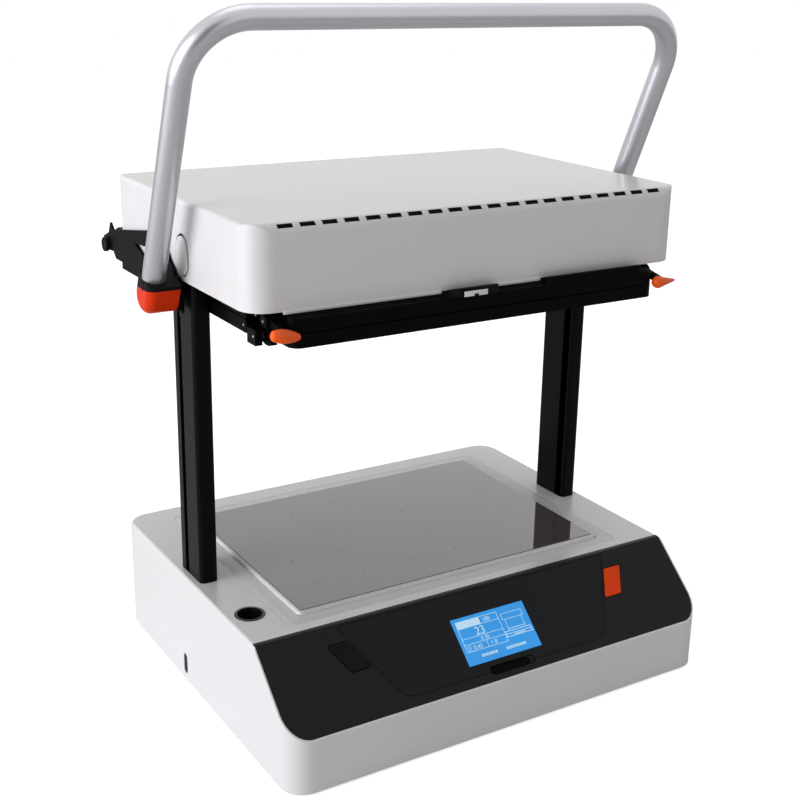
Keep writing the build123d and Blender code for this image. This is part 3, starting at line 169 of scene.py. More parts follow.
# Moulded ABS in white, duller than the powder coat next to it.
abs_white = finish_material("moulded_abs_white", "#E2E2E4", 0.38, grain_mm=0.6, tint=0.02)
# Printed polycarbonate overlay on the sloped panel: satin black that lifts a little at low angles.
overlay_black = finish_material(
    "polycarbonate_overlay_black", "#191B1D", 0.34, grain_mm=0.35, grain_depth_mm=0.006, tint=0.06,
    specular=0.12,
)
# The raised screen cover is the same film laid twice, so it's a shade darker and smoother.
cover_black = finish_material(
    "polycarbonate_cover_black", "#141619", 0.24, grain_mm=0.35, grain_depth_mm=0.004, tint=0.05,
    specular=0.12,
)
# Moulded ABS in black with a spark-eroded grain.
abs_black = finish_material(
    "moulded_abs_black", "#0E0E0F", 0.58, grain_mm=0.5, grain_depth_mm=0.02, tint=0.08, specular=0.1
)
# Black anodised aluminium extrusion: dark, drawn along its length, with a cool gleam.
anodised_black = finish_material(
    "anodised_aluminium_black", "#08080A", 0.30, grain_mm=0.7, grain_depth_mm=0.005, tint=0.05,
    stretch=(1, 1, 0.03), specular=0.07,
)
# Painted frame metal: black powder coat, duller than the columns.
powder_black = finish_material(
    "powder_coated_frame_black", "#060607", 0.40, grain_mm=0.8, grain_depth_mm=0.015, tint=0.08,
    specular=0.04,
)
# Bright anodised aluminium tube: satin silver, bead-blasted and sealed, with broad soft highlights.
anodised_silver = finish_material(
    "anodised_aluminium_silver", "#C6C6CC", 0.36, metal=0.9, grain_mm=0.5, grain_depth_mm=0.004,
    tint=0.02,
)
# Moulded ABS in orange with a light polish.
abs_orange = finish_material(
    "moulded_abs_orange", "#FF4C12", 0.32, grain_mm=0.7, grain_depth_mm=0.008, tint=0.05,
    specular=0.12,
)
# A deeper red-orange ABS, as the hubs' caps are moulded in.
abs_cap_orange = finish_material(
    "moulded_abs_red_orange", "#DC3506", 0.34, grain_mm=0.7, grain_depth_mm=0.008, tint=0.06,
    specular=0.1,
)
# Lacquered bed plate: taupe, and glossy enough to mirror columns and room.
bed_taupe = finish_material(
    "glossy_bed_plate_taupe", "#5C5455", 0.05, spread=0.01, grain_mm=2.0, grain_depth_mm=0.0005,
    coat=0.9, coat_rough=0.02, specular=0.6,
)
# Nitrile rubber: a dull, slightly pebbled black.
rubber_black = finish_material(
    "nitrile_rubber_black", "#151515", 0.72, grain_mm=0.9, grain_depth_mm=0.03, tint=0.1
)
# Silicone rubber of the clamp seals: matt grey, softer than the frames round it.
silicone_grey = finish_material(
    "silicone_rubber_grey", "#5A5550", 0.6, grain_mm=0.9, grain_depth_mm=0.02, tint=0.08
)
# Zinc plating: a greyish, slightly uneven metal.
steel_plain = finish_material(
    "zinc_plated_steel", "#A9AAAC", 0.36, metal=0.95, grain_mm=0.8, grain_depth_mm=0.006, tint=0.08
)
# Nickel plating: smoother and brighter than the zinc.
steel_bright = finish_material(
    "nickel_plated_steel", "#DADBDC", 0.2, metal=1.0, grain_mm=0.6, grain_depth_mm=0.003, tint=0.04
)
# Polished sheet behind the heaters, with long drawing marks across it.
reflector_sheet = finish_material(
    "polished_aluminium_sheet", "#DCDCDA", 0.18, metal=1.0, grain_mm=1.0, grain_depth_mm=0.004,
    tint=0.06, stretch=(0.05, 1, 1),
)
# Galvanised sheet under the machine, with the spangle of hot-dip zinc.
floor_steel = finish_material(
    "galvanised_steel_sheet", "#8E9092", 0.42, metal=0.9, grain_mm=6.0, grain_depth_mm=0.004,
    tint=0.18,
)
# Painted motor can: plain dark grey enamel.
motor_grey = finish_material("painted_motor_can_grey", "#3D4044", 0.45, grain_mm=1.0, tint=0.1)
# Mill-finish aluminium with the streaks of the rolls.
alu_plain = finish_material(
    "mill_aluminium", "#B4B6B8", 0.38, metal=0.95, grain_mm=0.7, grain_depth_mm=0.006, tint=0.06,
    stretch=(0.05, 1, 1),
)
# Ceramic fibre board: chalky and soft, without any shine.
fibre_white = finish_material(
    "ceramic_fibre_board", "#D8D2C6", 0.92, grain_mm=0.8, grain_depth_mm=0.12, tint=0.12, sheen=0.2
)
# Fired ceramic round the heater wires.
element_grey = finish_material(
    "ceramic_heater_tube", "#9A8F82", 0.55, grain_mm=1.5, grain_depth_mm=0.03, tint=0.12
)
# Steatite holders: cream, with the faint glaze of pressed ceramic.
holder_cream = finish_material(
    "steatite_ceramic_cream", "#D5CCBC", 0.5, grain_mm=1.0, grain_depth_mm=0.02, tint=0.06
)
# Turned brass of blades and sensor.
brass_plain = finish_material("turned_brass", "#C49A4A", 0.3, metal=1.0, grain_mm=0.5, tint=0.08)
# Solder mask on a glass-fibre board, uneven where the tracks run under it.
board_green = finish_material(
    "circuit_board_green", "#1F5A34", 0.4, grain_mm=2.5, grain_depth_mm=0.05, tint=0.2
)
# Acetal bushes: waxy cream.
acetal_cream = finish_material("acetal_bush_cream", "#DAD7CC", 0.35, grain_mm=0.8, tint=0.04)

BACKLIGHT_MM = 30.0


def lit_screen(name, glass, glow, dim, full):
    """A backlit display: a colour that glows behind thin glass, unevenly by a few percent."""
    made, tree, output = new_material(name)
    place = add_node(tree, "ShaderNodeTexCoord")
    drift = add_node(
        tree, "ShaderNodeTexNoise", {"Scale": 1 / (BACKLIGHT_MM * MM), "Detail": 1.0},
        {"Vector": place.outputs["Object"]},
    )
    level = add_node(
        tree, "ShaderNodeMapRange", {**NOISE_RANGE, "To Min": dim, "To Max": full},
        {"Value": drift.outputs["Fac"]},
    )
    shader = add_node(
        tree, "ShaderNodeBsdfPrincipled",
        {
            "Base Color": colour(glass), "Roughness": 0.25, "Emission Color": colour(glow),
            "Specular IOR Level": 0.1,
        },
        {"Emission Strength": level.outputs["Result"]},
    )
    tree.links.new(shader.outputs["BSDF"], output.inputs["Surface"])
    return made


# Backlit liquid crystal: an even blue, and the pale blue-white of its open segments.
screen_blue = lit_screen("backlit_lcd_blue", "#17406E", "#3C9BE4", 0.82, 0.92)
screen_white = lit_screen("backlit_lcd_segments", "#8FB4D0", "#CDEBFA", 0.55, 0.62)
# Gloss-moulded ABS in black, for the small rims and pulls.
abs_gloss_black = finish_material(
    "gloss_abs_black", "#0B0B0C", 0.16, grain_mm=0.8, grain_depth_mm=0.004, tint=0.06, specular=0.3
)
# Near-black, dull sheet set behind the hood's slots as painted shade, so they read dark inside; the
# finger pull wears it too.
shade_black = finish_material(
    "painted_shade_black", "#050505", 0.7, grain_mm=0.4, grain_depth_mm=0.08, tint=0.2,
    specular=0.05,
)
# The same orange ABS, glossier for the latch grips and made lighter as painted highlight.
grip_orange_lit = finish_material(
    "gloss_abs_orange_lit", "#FF6008", 0.14, spread=0.02, grain_mm=0.9, grain_depth_mm=0.003,
    tint=0.04, specular=0.3,
)

FINISHES = {
    "base_shell": powder_white,
    "heater_hood": powder_white,
    "hood_side_plugs": abs_white,
    "base_plate": floor_steel,
    "rubber_feet": rubber_black,
    "control_fascia": overlay_black,
    "screen_cover": cover_black,
    "screen_module": screen_blue,
    "control_board": board_green,
    "start_switch": abs_black,
    "power_switch": abs_black,
    "start_key": abs_black,
    "power_rocker": abs_orange,
    "bed_plate": bed_taupe,
    "vacuum_tray": alu_plain,
    "vacuum_motor": motor_grey,
    "suction_boot": rubber_black,
    "port_cup": abs_black,
    "power_supply": alu_plain,
    "mains_inlet": abs_black,
    "inlet_blades": brass_plain,
    "fan_housing": abs_black,
    "fan_rotor": abs_black,
    "left_column": anodised_black,
    "right_column": anodised_black,
    "column_clamps": alu_plain,
    "hood_brackets": steel_plain,
    "heater_reflector": reflector_sheet,
    "insulation_board": fibre_white,
    "heating_elements": element_grey,
    "element_holders": holder_cream,
    "heater_guard": steel_plain,
    "heat_sensor": brass_plain,
    "upper_clamp_frame": powder_black,
    "front_catch": abs_black,
    "catch_plate": steel_bright,
    "left_slider": powder_black,
    "right_slider": powder_black,
    "slider_bushes": acetal_cream,
    "pivot_pins": steel_plain,
    "hinge_pins": abs_black,
    "latch_pivots": powder_black,
    "handle_tube": anodised_silver,
    "left_handle_socket": abs_black,
    "right_handle_socket": abs_black,
    "left_end_cap": abs_cap_orange,
    "right_end_cap": abs_cap_orange,
    "lower_clamp_frame": powder_black,
    "clamp_seals": silicone_grey,
    "keeper_pins": steel_bright,
    "left_latch_lever": powder_black,
    "right_latch_lever": powder_black,
    "left_latch_grip": grip_orange_lit,
    "right_latch_grip": grip_orange_lit,
}

for name, finish in FINISHES.items():
    piece = nodes[name]
    piece.data.materials.clear()
    piece.data.materials.append(finish)


# ---- modelling helpers
NEAR = 0.01


def start():
    """Out of edit mode, with nothing selected."""
    if bpy.context.mode != "OBJECT":
        bpy.ops.object.mode_set(mode="OBJECT")
    bpy.ops.object.select_all(action="DESELECT")


def take(piece):
    """Out of edit mode, with just this piece selected and active."""
    start()
    piece.select_set(True)
    bpy.context.view_layer.objects.active = piece


def settle(piece):
    """Puts the piece's place, turn and size into its mesh."""
    take(piece)
    bpy.ops.object.transform_apply(location=True, rotation=True, scale=True)
    return piece


def box(name, low, high):
    """A box primitive between two corners in millimetres."""
    start()
    middle = [(a + b) / 2 * MM for a, b in zip(low, high)]
    bpy.ops.mesh.primitive_cube_add(size=1, location=middle)
    made = bpy.context.object
    made.name = name
    made.scale = [(b - a) * MM for a, b in zip(low, high)]
    return settle(made)


def rod(name, centre, radius, length, axis, sides=32):
    """A cylinder primitive about a centre in millimetres, along x, y or z."""
    start()
    turned = {"x": (0, pi / 2, 0), "y": (pi / 2, 0, 0), "z": (0, 0, 0)}[axis]
    bpy.ops.mesh.primitive_cylinder_add(
        vertices=sides, radius=radius * MM, depth=length * MM,
        location=[v * MM for v in centre], rotation=turned,
    )
    made = bpy.context.object
    made.name = name
    return settle(made)


def centre_of(piece, part):
    """The middle of a face or an edge, or a vertex's place, in millimetres."""
    points = [part] if hasattr(part, "co") else [piece.data.vertices[i] for i in part.vertices]
    return sum((p.co for p in points), Vector()) / len(points) / MM


def pick(piece, kind, wanted):
    """Opens the piece in edit mode with the faces, edges or vertices that are wanted selected."""
    take(piece)
    bpy.ops.object.mode_set(mode="EDIT")
    bpy.ops.mesh.select_mode(type=kind)
    bpy.ops.mesh.select_all(action="DESELECT")
    bpy.ops.object.mode_set(mode="OBJECT")
    mesh = piece.data
    for part in {"FACE": mesh.polygons, "EDGE": mesh.edges, "VERT": mesh.vertices}[kind]:
        part.select = bool(wanted(centre_of(piece, part), part))
    bpy.ops.object.mode_set(mode="EDIT")


def bevel(width, steps=2):
    """Rounds the selected edges by a width in millimetres."""
    bpy.ops.mesh.bevel(offset=width * MM, offset_type="OFFSET", segments=steps, affect="EDGES")


def inset(width, depth=0.0):
    """Insets the selected faces by a width, and sinks them by a depth, in millimetres."""
    bpy.ops.mesh.inset(thickness=width * MM, depth=-depth * MM)


def bore_out(piece):
    """Deletes the selected faces on two sides and joins the holes by a wall."""
    bpy.ops.mesh.delete(type="FACE")
    pick(piece, "EDGE", lambda c, e: False)
    bpy.ops.mesh.select_non_manifold()
    bpy.ops.mesh.bridge_edge_loops()


def copy(piece, name, x=0.0):
    """A copy with its own mesh, moved to one side by millimetres."""
    take(piece)
    bpy.ops.object.duplicate(linked=False)
    made = bpy.context.object
    made.name = name
    made.location = Vector((x, 0, 0)) * MM
    return settle(made)


def mirror_x(piece, name):
    """A copy with its own mesh on the machine's other side."""
    made = copy(piece, name)
    made.scale = (-1, 1, 1)
    settle(made)
    take(made)
    bpy.ops.object.mode_set(mode="EDIT")
    bpy.ops.mesh.select_all(action="SELECT")
    bpy.ops.mesh.normals_make_consistent(inside=False)
    bpy.ops.object.mode_set(mode="OBJECT")
    return made


def join(pieces, name):
    """Joins loose pieces of one body and one finish into one object."""
    start()
    for piece in pieces:
        piece.select_set(True)
    bpy.context.view_layer.objects.active = pieces[0]
    bpy.ops.object.join()
    made = bpy.context.object
    made.name = name
    return made


def dress(piece, body, finish, angle=40):
    """Smooths a finished piece, gives it its finish and lets it ride on its body."""
    take(piece)
    bpy.ops.object.shade_smooth_by_angle(angle=radians(angle))
    piece.data.materials.clear()
    piece.data.materials.append(finish)
    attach(piece, body)
    return piece


def lay_on_panel(piece):
    """Turns a piece drawn flat, x right, y up the slope and z out, onto the sloped panel."""
    piece.matrix_world = PANEL @ piece.matrix_world
    return settle(piece)


# ---- sizes shared with the CAD
# Every length in a modelling call is in millimetres; the helpers turn it into metres.
BASE_SIDE = 206.0
BASE_BOTTOM = 2.0
BASE_TOP = 102.0
BASE_BACK = 171.0
BREAK_Y = -108.5
SLOPE_RUN = 62.5
SLOPE_RISE = 55.0
HOOD_FRONT = -104.0
HOOD_LOW = 361.3
HOOD_TOP = 425.3
HOOD_EDGE = 7.0

slope = atan2(SLOPE_RISE, SLOPE_RUN)
PANEL = Matrix.Translation((0, BREAK_Y * MM, BASE_TOP * MM)) @ Matrix.Rotation(slope, 4, "X")

# ---- screen picture
# The picture is drawn on the panel in millimetres: x from its middle, y down from the slope's top.
SCREEN_GLASS = -0.2
LINE_HIGH = 0.06
LINE_WIDE = 0.42
BOLD_LINE = 0.6
TABLE_CORNERS = [(-33, 26.2), (7.8, 26.2), (7.8, 52.8), (-33, 52.8)]
TABLE_LINES = (
    (-33, 32.3, 7.8, 32.3), (-33, 41.4, 7.8, 41.4), (-33, 46.6, 7.8, 46.6),
    (-10.3, 26.2, -10.3, 32.3), (-11.5, 46.6, -11.5, 52.8), (-28.4, 46.6, -28.4, 52.8),
)
# text, x, y and height of each reading
READINGS = (
    ("23", -18.4, 40.6, 7.0), ("180", -7.6, 31.2, 3.6), ("0 30", -15.5, 45.7, 3.2),
    ("2", -32.0, 51.8, 3.6), ("0.45", -25.6, 51.8, 3.6), ("1 8", -8.6, 51.8, 3.6),
)
# outline of the press beside the table: hood, two columns, tray and base
PRESS_HOOD = [(11.0, 29.4), (31.6, 29.4), (31.6, 34.6), (11.0, 34.6)]
PRESS_BASE = [(9.0, 45.0), (33.8, 45.0), (34.8, 49.6), (8.2, 49.6)]
PRESS_LINES = (
    (13.0, 34.6, 13.0, 45.0, LINE_WIDE), (29.6, 34.6, 29.6, 45.0, LINE_WIDE),
    (13.0, 43.0, 29.6, 43.0, BOLD_LINE),
)
PRESS_TRIM = ((9.6, 47.2, 33.4, 47.2, BOLD_LINE), (17.0, 48.6, 27.0, 48.6, 0.8))
# where each row of blocks starts, and how many it has
BLOCK_ROWS = ((-21.2, 7), (3.4, 9))
BLOCK_PITCH = 2.25
BLOCK_WIDE = 1.5
BLOCK_SPAN = (-59.4, -57.0)
LETTER_TO_SIZE = 0.7


def raised(name, low, high):
    """A flat bar of the picture between two corners, y up, lying on the glass."""
    made = box(name, (*low, 0), (*high, LINE_HIGH))
    made.location = (0, 0, SCREEN_GLASS * MM)
    return settle(made)


def stroke(x1, y1, x2, y2, width=LINE_WIDE):
    """One thin line of the picture, as a flat bar from one point to another."""
    length = hypot(x2 - x1, y2 - y1)
    reach = length / 2 + width / 2
    made = box("stroke", (-reach, -width / 2, 0), (reach, width / 2, LINE_HIGH))
    made.rotation_euler = (0, 0, atan2(y1 - y2, x2 - x1))
    made.location = Vector(((x1 + x2) / 2, -(y1 + y2) / 2, SCREEN_GLASS)) * MM
    return settle(made)


def outline(points, width=LINE_WIDE):
    """A closed line through the points."""
    return [stroke(*a, *b, width) for a, b in zip(points, points[1:] + points[:1])]


def digits(text, x, y, height):
    """Plain numerals whose lower left corner stands at a point of the picture."""
    start()
    bpy.ops.object.text_add(location=(0, 0, 0))
    made = bpy.context.object
    made.data.body = text
    made.data.size = height / LETTER_TO_SIZE * MM
    made.data.extrude = LINE_HIGH / 2 * MM
    bpy.ops.object.convert(target="MESH")
    made = bpy.context.object
    made.location = Vector((x, -y, SCREEN_GLASS + LINE_HIGH / 2)) * MM
    return settle(made)


table = outline(TABLE_CORNERS) + [stroke(*line) for line in TABLE_LINES]
# filled cell that marks the chosen row
table.append(raised("filled", (-33, -32.2), (-10.4, -26.2)))
table += [digits(*reading) for reading in READINGS]
table += outline(PRESS_HOOD) + [stroke(*line) for line in PRESS_LINES]
table += outline(PRESS_BASE, BOLD_LINE) + [stroke(*line) for line in PRESS_TRIM]
# two short rows of blocks along the bottom, which show how far the job has run
for first, count in BLOCK_ROWS:
    for step in range(count):
        left = first + step * BLOCK_PITCH
        table.append(raised("bar", (left, BLOCK_SPAN[0]), (left + BLOCK_WIDE, BLOCK_SPAN[1])))
dress(lay_on_panel(join(table, "screen_picture")), "base", screen_white)

# ---- near-black backing behind the hood's front slots: painted shade inside the slots
VENT_COUNT = 20
VENT_PITCH = 18.105
VENT_ANGLE = radians(48)
VENT_DEEP = 0.45
VENT_HALF_LONG = 6.25
VENT_HALF_HIGH = 1.95

vent_shade = box(
    "vent_shade", (-VENT_HALF_LONG, -VENT_HALF_HIGH, -1.0), (VENT_HALF_LONG, VENT_HALF_HIGH, 0.0)
)
pick(vent_shade, "EDGE", lambda c, e: c.z > -0.1)
bevel(0.2, 1)
start()
vent_shade.rotation_euler = (pi / 2 - VENT_ANGLE, 0, 0)
out_of_hood = Vector((0, -cos(VENT_ANGLE), sin(VENT_ANGLE))) * (HOOD_EDGE - VENT_DEEP)
vent_shade.location = (Vector((0, HOOD_FRONT + HOOD_EDGE, HOOD_TOP - HOOD_EDGE)) + out_of_hood) * MM
settle(vent_shade)
vent_shades = [
    copy(vent_shade, "vent_shade", x=(step - (VENT_COUNT - 1) / 2) * VENT_PITCH) for step in range(VENT_COUNT)
]
start()
bpy.data.objects.remove(vent_shade)
dress(join(vent_shades, "vent_shade_backing"), "base", shade_black)

# ---- bright lip under the hood's front edge
LIP_LOW = 359.4
LIP_TOP = HOOD_LOW + 0.9
LIP_FRONT = HOOD_FRONT - 1.2
LIP_BACK = HOOD_FRONT + 1.4
LIP_ROLL = 1.0


def lip(name, left, right):
    """One length of the lip: a strip that stands proud of the hood, its upper edge rolled."""
    made = box(name, (left, LIP_FRONT, LIP_LOW), (right, LIP_BACK, LIP_TOP))
    for level, width, steps in ((LIP_TOP, LIP_ROLL, 5), (LIP_LOW, LIP_ROLL * 0.4, 2)):
        pick(made, "EDGE", lambda c, e: abs(c.y - LIP_FRONT) < NEAR and abs(c.z - level) < NEAR)
        bevel(width, steps)
    start()
    return dress(made, "base", powder_white)


# The lip is broken where the frame's catch stands up in front of it.
lip("hood_lip_left", -174.8, -40.2)
lip("hood_lip_right", 10.6, 55.0)

# ---- moulded surround that fills the moat
SURROUND_TOP = BASE_TOP - 0.05
SURROUND_LOW = 99.6
SURROUND_X = 167.3
SURROUND_Y = 121.3
SURROUND_MIDDLE = 27.0
SURROUND_WIDE = 11.7
SURROUND_CORNER = 6.8
PLATFORM_WIDE = 307.6


def on_outline(vertex):
    """Whether a vertex lies on the surround's outer outline."""
    x = abs(vertex.co.x) / MM
    y = abs(vertex.co.y / MM - SURROUND_MIDDLE)
    in_corner = x > SURROUND_X - 7 and y > SURROUND_Y - 7
    return in_corner or x > SURROUND_X - 0.1 or y > SURROUND_Y - 0.1


surround = box(
    "bed_surround", (-SURROUND_X, SURROUND_MIDDLE - SURROUND_Y, SURROUND_LOW),
    (SURROUND_X, SURROUND_MIDDLE + SURROUND_Y, SURROUND_TOP),
)
pick(surround, "FACE", lambda c, f: abs(f.normal.z) > 0.9)
inset(SURROUND_WIDE)
bpy.ops.transform.resize(
    value=(PLATFORM_WIDE / (2 * (SURROUND_X - SURROUND_WIDE)), 1, 1),
    center_override=(0, SURROUND_MIDDLE * MM, SURROUND_TOP * MM),
)
bore_out(surround)
surround_half = (SURROUND_TOP + SURROUND_LOW) / 2
pick(
    surround, "EDGE",
    lambda c, e: abs(c.z - surround_half) < 0.3 and abs(c.x) > SURROUND_X - 1
    and abs(c.y - SURROUND_MIDDLE) > SURROUND_Y - 1,
)
bevel(SURROUND_CORNER, 8)
pick(
    surround, "EDGE",
    lambda c, e: abs(c.z - SURROUND_TOP) < NEAR
    and all(on_outline(surround.data.vertices[i]) for i in e.vertices),
)
bevel(0.25, 2)
start()
dress(surround, "base", abs_white)

# ---- strike plate of the front catch
STRIKE_FRONT = -115.8
NOTCH_TOP = 359.4

strike = box("strike_plate", (-25.4, STRIKE_FRONT, 357.4), (-3.8, STRIKE_FRONT + 0.8, 361.6))
pick(strike, "EDGE", lambda c, e: abs(c.y - STRIKE_FRONT) < NEAR)
bevel(0.25, 2)
start()
dress(strike, "carriage", powder_white)
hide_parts("catch_plate")

notch = box(
    "strike_notch", (-16.4, STRIKE_FRONT - 0.2, 357.2), (-12.6, STRIKE_FRONT + 0.6, NOTCH_TOP)
)
pick(notch, "EDGE", lambda c, e: abs(c.z - NOTCH_TOP) < NEAR)
bevel(0.5, 2)
start()
dress(notch, "carriage", abs_black)

# ---- small screws
RAIL_SIDE = -182.5
LATCH_HEAD_SIDE = -183.5
KEEPER_SIDE = -189.6
RAIL_SCREW_Y = -52.0


def screw(centre, radius, axis, side):
    """A pan-head screw with a recess, its head standing on a face."""
    way = {"x": Vector((side, 0, 0)), "y": Vector((0, side, 0)), "z": Vector((0, 0, side))}[axis]
    height = radius * 0.55
    made = rod("screw", Vector(centre) + way * height / 2, radius, height, axis, sides=24)
    top = Vector(centre) + way * height
    pick(made, "FACE", lambda c, f: f.normal.dot(way) > 0.9)
    inset(radius * 0.25)
    inset(radius * 0.2, radius * 0.3)
    pick(
        made, "EDGE",
        lambda c, e: abs((c - top).dot(way)) < NEAR and (c - top).length > radius * 0.9,
    )
    bevel(radius * 0.2, 3)
    start()
    return made


def both_sides(screws, name, body):
    """Joins the screws of the left side and sets a mirrored copy on the right side."""
    left_name, right_name = "left_" + name, "right_" + name
    left = dress(join(screws, left_name), body, steel_plain)
    dress(mirror_x(left, right_name), body, steel_plain)


both_sides(
    [
        screw((RAIL_SIDE, RAIL_SCREW_Y, 350.6), 1.1, "x", -1),
        screw((RAIL_SIDE, -74.0, 353.0), 1.0, "x", -1),
        screw((LATCH_HEAD_SIDE, -88.0, 351.5), 1.2, "x", -1),
    ],
    "rail_screws", "carriage",
)
both_sides(
    [
        screw((RAIL_SIDE, RAIL_SCREW_Y, 340.2), 1.1, "x", -1),
        screw((KEEPER_SIDE, -84.0, 340.0), 1.2, "x", -1),
    ],
    "keeper_screws", "lower_clamp",
)

# ---- rim of the port in the base's top
PORT_X = -186.0
PORT_Y = -60.0
RIM_RADIUS = 12.4
RIM_HIGH = 0.5
port_middle = Vector((PORT_X, PORT_Y))

rim_middle = (PORT_X, PORT_Y, BASE_TOP + RIM_HIGH / 2)
rim = rod("port_rim", rim_middle, RIM_RADIUS, RIM_HIGH, "z", sides=64)
pick(rim, "FACE", lambda c, f: abs(f.normal.z) > 0.9)
inset(2.2)
bore_out(rim)
pick(
    rim, "EDGE",
    lambda c, e: abs(c.z - BASE_TOP - RIM_HIGH) < NEAR
    and abs((c.xy - port_middle).length - RIM_RADIUS) < 0.2,
)
bevel(0.3, 3)
start()
dress(rim, "base", abs_gloss_black)

# ---- finger pull in the screen cover: black plastic, given a near-black dull finish that adds painted shade to its hollow
PULL_DOWN_SLOPE = 72.7
PULL_HALF_HIGH = 3.9
PULL_PROUD = 0.35
PULL_SUNK = -1.0

finger_pull = box(
    "finger_pull", (-20.2, -PULL_HALF_HIGH, PULL_SUNK), (24.4, PULL_HALF_HIGH, PULL_PROUD)
)
pick(finger_pull, "EDGE", lambda c, e: abs(c.z - (PULL_PROUD + PULL_SUNK) / 2) < 0.3)
bevel(3.6, 8)
pick(finger_pull, "FACE", lambda c, f: f.normal.z > 0.9)
inset(0.9)
inset(0.35, 0.9)
pick(finger_pull, "EDGE", lambda c, e: c.z > PULL_PROUD - 0.05)
bevel(0.25, 2)
start()
finger_pull.location = Vector((0, -PULL_DOWN_SLOPE, 0)) * MM
settle(finger_pull)
dress(lay_on_panel(finger_pull), "base", shade_black)

# ---- black liner of the slot in the left side
LINER_IN = 2.0 - BASE_SIDE
LINER_OUT = 0.7 - BASE_SIDE

liner = box("side_slot_liner", (LINER_OUT, 27.2, 8.2), (LINER_IN, 34.8, 26.8))
pick(liner, "EDGE", lambda c, e: abs(c.x - (LINER_IN + LINER_OUT) / 2) < 0.3)
bevel(3.4, 6)
pick(liner, "FACE", lambda c, f: f.normal.x < -0.9)
inset(0.7, 0.5)
start()
dress(liner, "base", abs_gloss_black)

# ---- oval plugs in the hood's sides
PLUG_Y = 17.0
PLUG_Z = 382.0
PLUG_OUT = -202.4


def oval(name, inner_x, outer_x, y, z, half_width, half_height):
    """An upright stadium shape on the left side, from one x to another."""
    made = box(
        name, (outer_x, y - half_width, z - half_height), (inner_x, y + half_width, z + half_height)
    )
    middle_x = (inner_x + outer_x) / 2
    pick(made, "EDGE", lambda c, e: abs(c.x - middle_x) < NEAR)
    bevel(half_width * 0.98, 12)
    start()
    return made


# A black oval behind each plug, larger than it and set forward and up from it, so a dark crescent
# shows at the plug's front and top: painted shadow of the gap round the plug.
recess = oval("left_plug_shadow_ring", -199.2, -200.4, PLUG_Y, PLUG_Z, 12.8, 16.8)
plug = oval("left_side_plug", -199.4, PLUG_OUT, PLUG_Y + 2.0, PLUG_Z - 1.0, 10.6, 15.6)
pick(plug, "EDGE", lambda c, e: c.x < PLUG_OUT + 0.1)
bevel(1.2, 4)
pick(plug, "FACE", lambda c, f: f.normal.x < -0.99)
inset(4.0, -0.3)
inset(3.0, -0.1)
start()
dress(recess, "base", abs_black)
dress(plug, "base", abs_white, 60)
dress(mirror_x(plug, "right_side_plug"), "base", abs_white, 60)
dress(mirror_x(recess, "right_plug_shadow_ring"), "base", abs_black)
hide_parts("hood_side_plugs")

# ---- hinge pins with their knobs
HINGE_Y = 182.0
HINGE_Z = 360.0
KNOB_MIDDLE = -206.9
KNOB_LONG = 3.4

pin = rod("pin", (-193.8, HINGE_Y, HINGE_Z), 3.0, 23.6, "x")
spacer = rod("spacer", (-200.6, HINGE_Y, HINGE_Z), 5.0, 5.2, "x")
knob = rod("knob", (KNOB_MIDDLE, HINGE_Y, HINGE_Z), 6.4, KNOB_LONG, "x", sides=36)
pick(knob, "EDGE", lambda c, e: c.x < KNOB_MIDDLE - KNOB_LONG / 2 + 0.1)
bevel(0.8, 3)
pick(knob, "FACE", lambda c, f: f.normal.x < -0.99)
inset(1.6, 0.7)
start()
hinge = dress(join([pin, spacer, knob], "left_hinge_pin"), "carriage", abs_black)
dress(mirror_x(hinge, "right_hinge_pin"), "carriage", abs_black)
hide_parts("hinge_pins")

# ---- strip that closes each socket over its tube
HANDLE_LEAN = radians(22.84)
PIVOT_Y = 27.0
PIVOT_Z = 350.5
TUBE_SIDE = -233.75

strip = box("left_socket_strip", (TUBE_SIDE, -2.9, 6.7), (TUBE_SIDE + 1.15, 2.9, 16.4))
pick(strip, "EDGE", lambda c, e: abs(c.x - TUBE_SIDE) < NEAR)
bevel(0.2, 2)
start()
strip.rotation_euler = (HANDLE_LEAN, 0, 0)
strip.location = Vector((0, PIVOT_Y, PIVOT_Z)) * MM
settle(strip)
dress(strip, "handle", abs_black)
dress(mirror_x(strip, "right_socket_strip"), "handle", abs_black)

# ---- almond-shaped grip of the left latch
GRIP_LENGTH = 21.6
GRIP_RADIUS = 5.4
GRIP_DIP = radians(9.5)
GRIP_PLACE = Vector((-179.2, -116.0, 346.6))
# place along the grip from end to end, and how wide it is there
GRIP_RINGS = ((-0.5, 0.72), (-0.25, 1.03), (0, 1.0), (0.25, 0.84), (0.5, 0.5))

grip = rod("left_grip_almond", (0, 0, 0), GRIP_RADIUS, GRIP_LENGTH, "x", sides=20)
pick(grip, "EDGE", lambda c, e: abs(c.x) < 0.1)
bpy.ops.mesh.subdivide(number_cuts=3)
for along, wide in GRIP_RINGS:
    pick(grip, "VERT", lambda c, v: abs(c.x - along * GRIP_LENGTH) < 0.1)
    ring_middle = (along * GRIP_LENGTH * MM, 0, 0)
    bpy.ops.transform.resize(value=(1, wide, wide), center_override=ring_middle)
pick(grip, "FACE", lambda c, f: abs(f.normal.x) > 0.9)
inset(0.9, -0.7)
take(grip)
grip.modifiers.new("smooth", "SUBSURF").levels = 2
bpy.ops.object.modifier_apply(modifier="smooth")
grip.rotation_euler = (0, GRIP_DIP, 0)
grip.location = GRIP_PLACE * MM
settle(grip)
dress(grip, "left_latch", grip_orange_lit, 80)
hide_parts("left_latch_grip")

# ---- screws under the base and on its back
PLATE_SCREWS = (
    (-192, 150), (192, 150), (-192, 0), (192, 0), (-192, -150), (192, -150), (0, 157), (0, -157),
)
FAN_X = 105.0
FAN_Z = 46.0
FAN_SCREW_HALF = 25.0

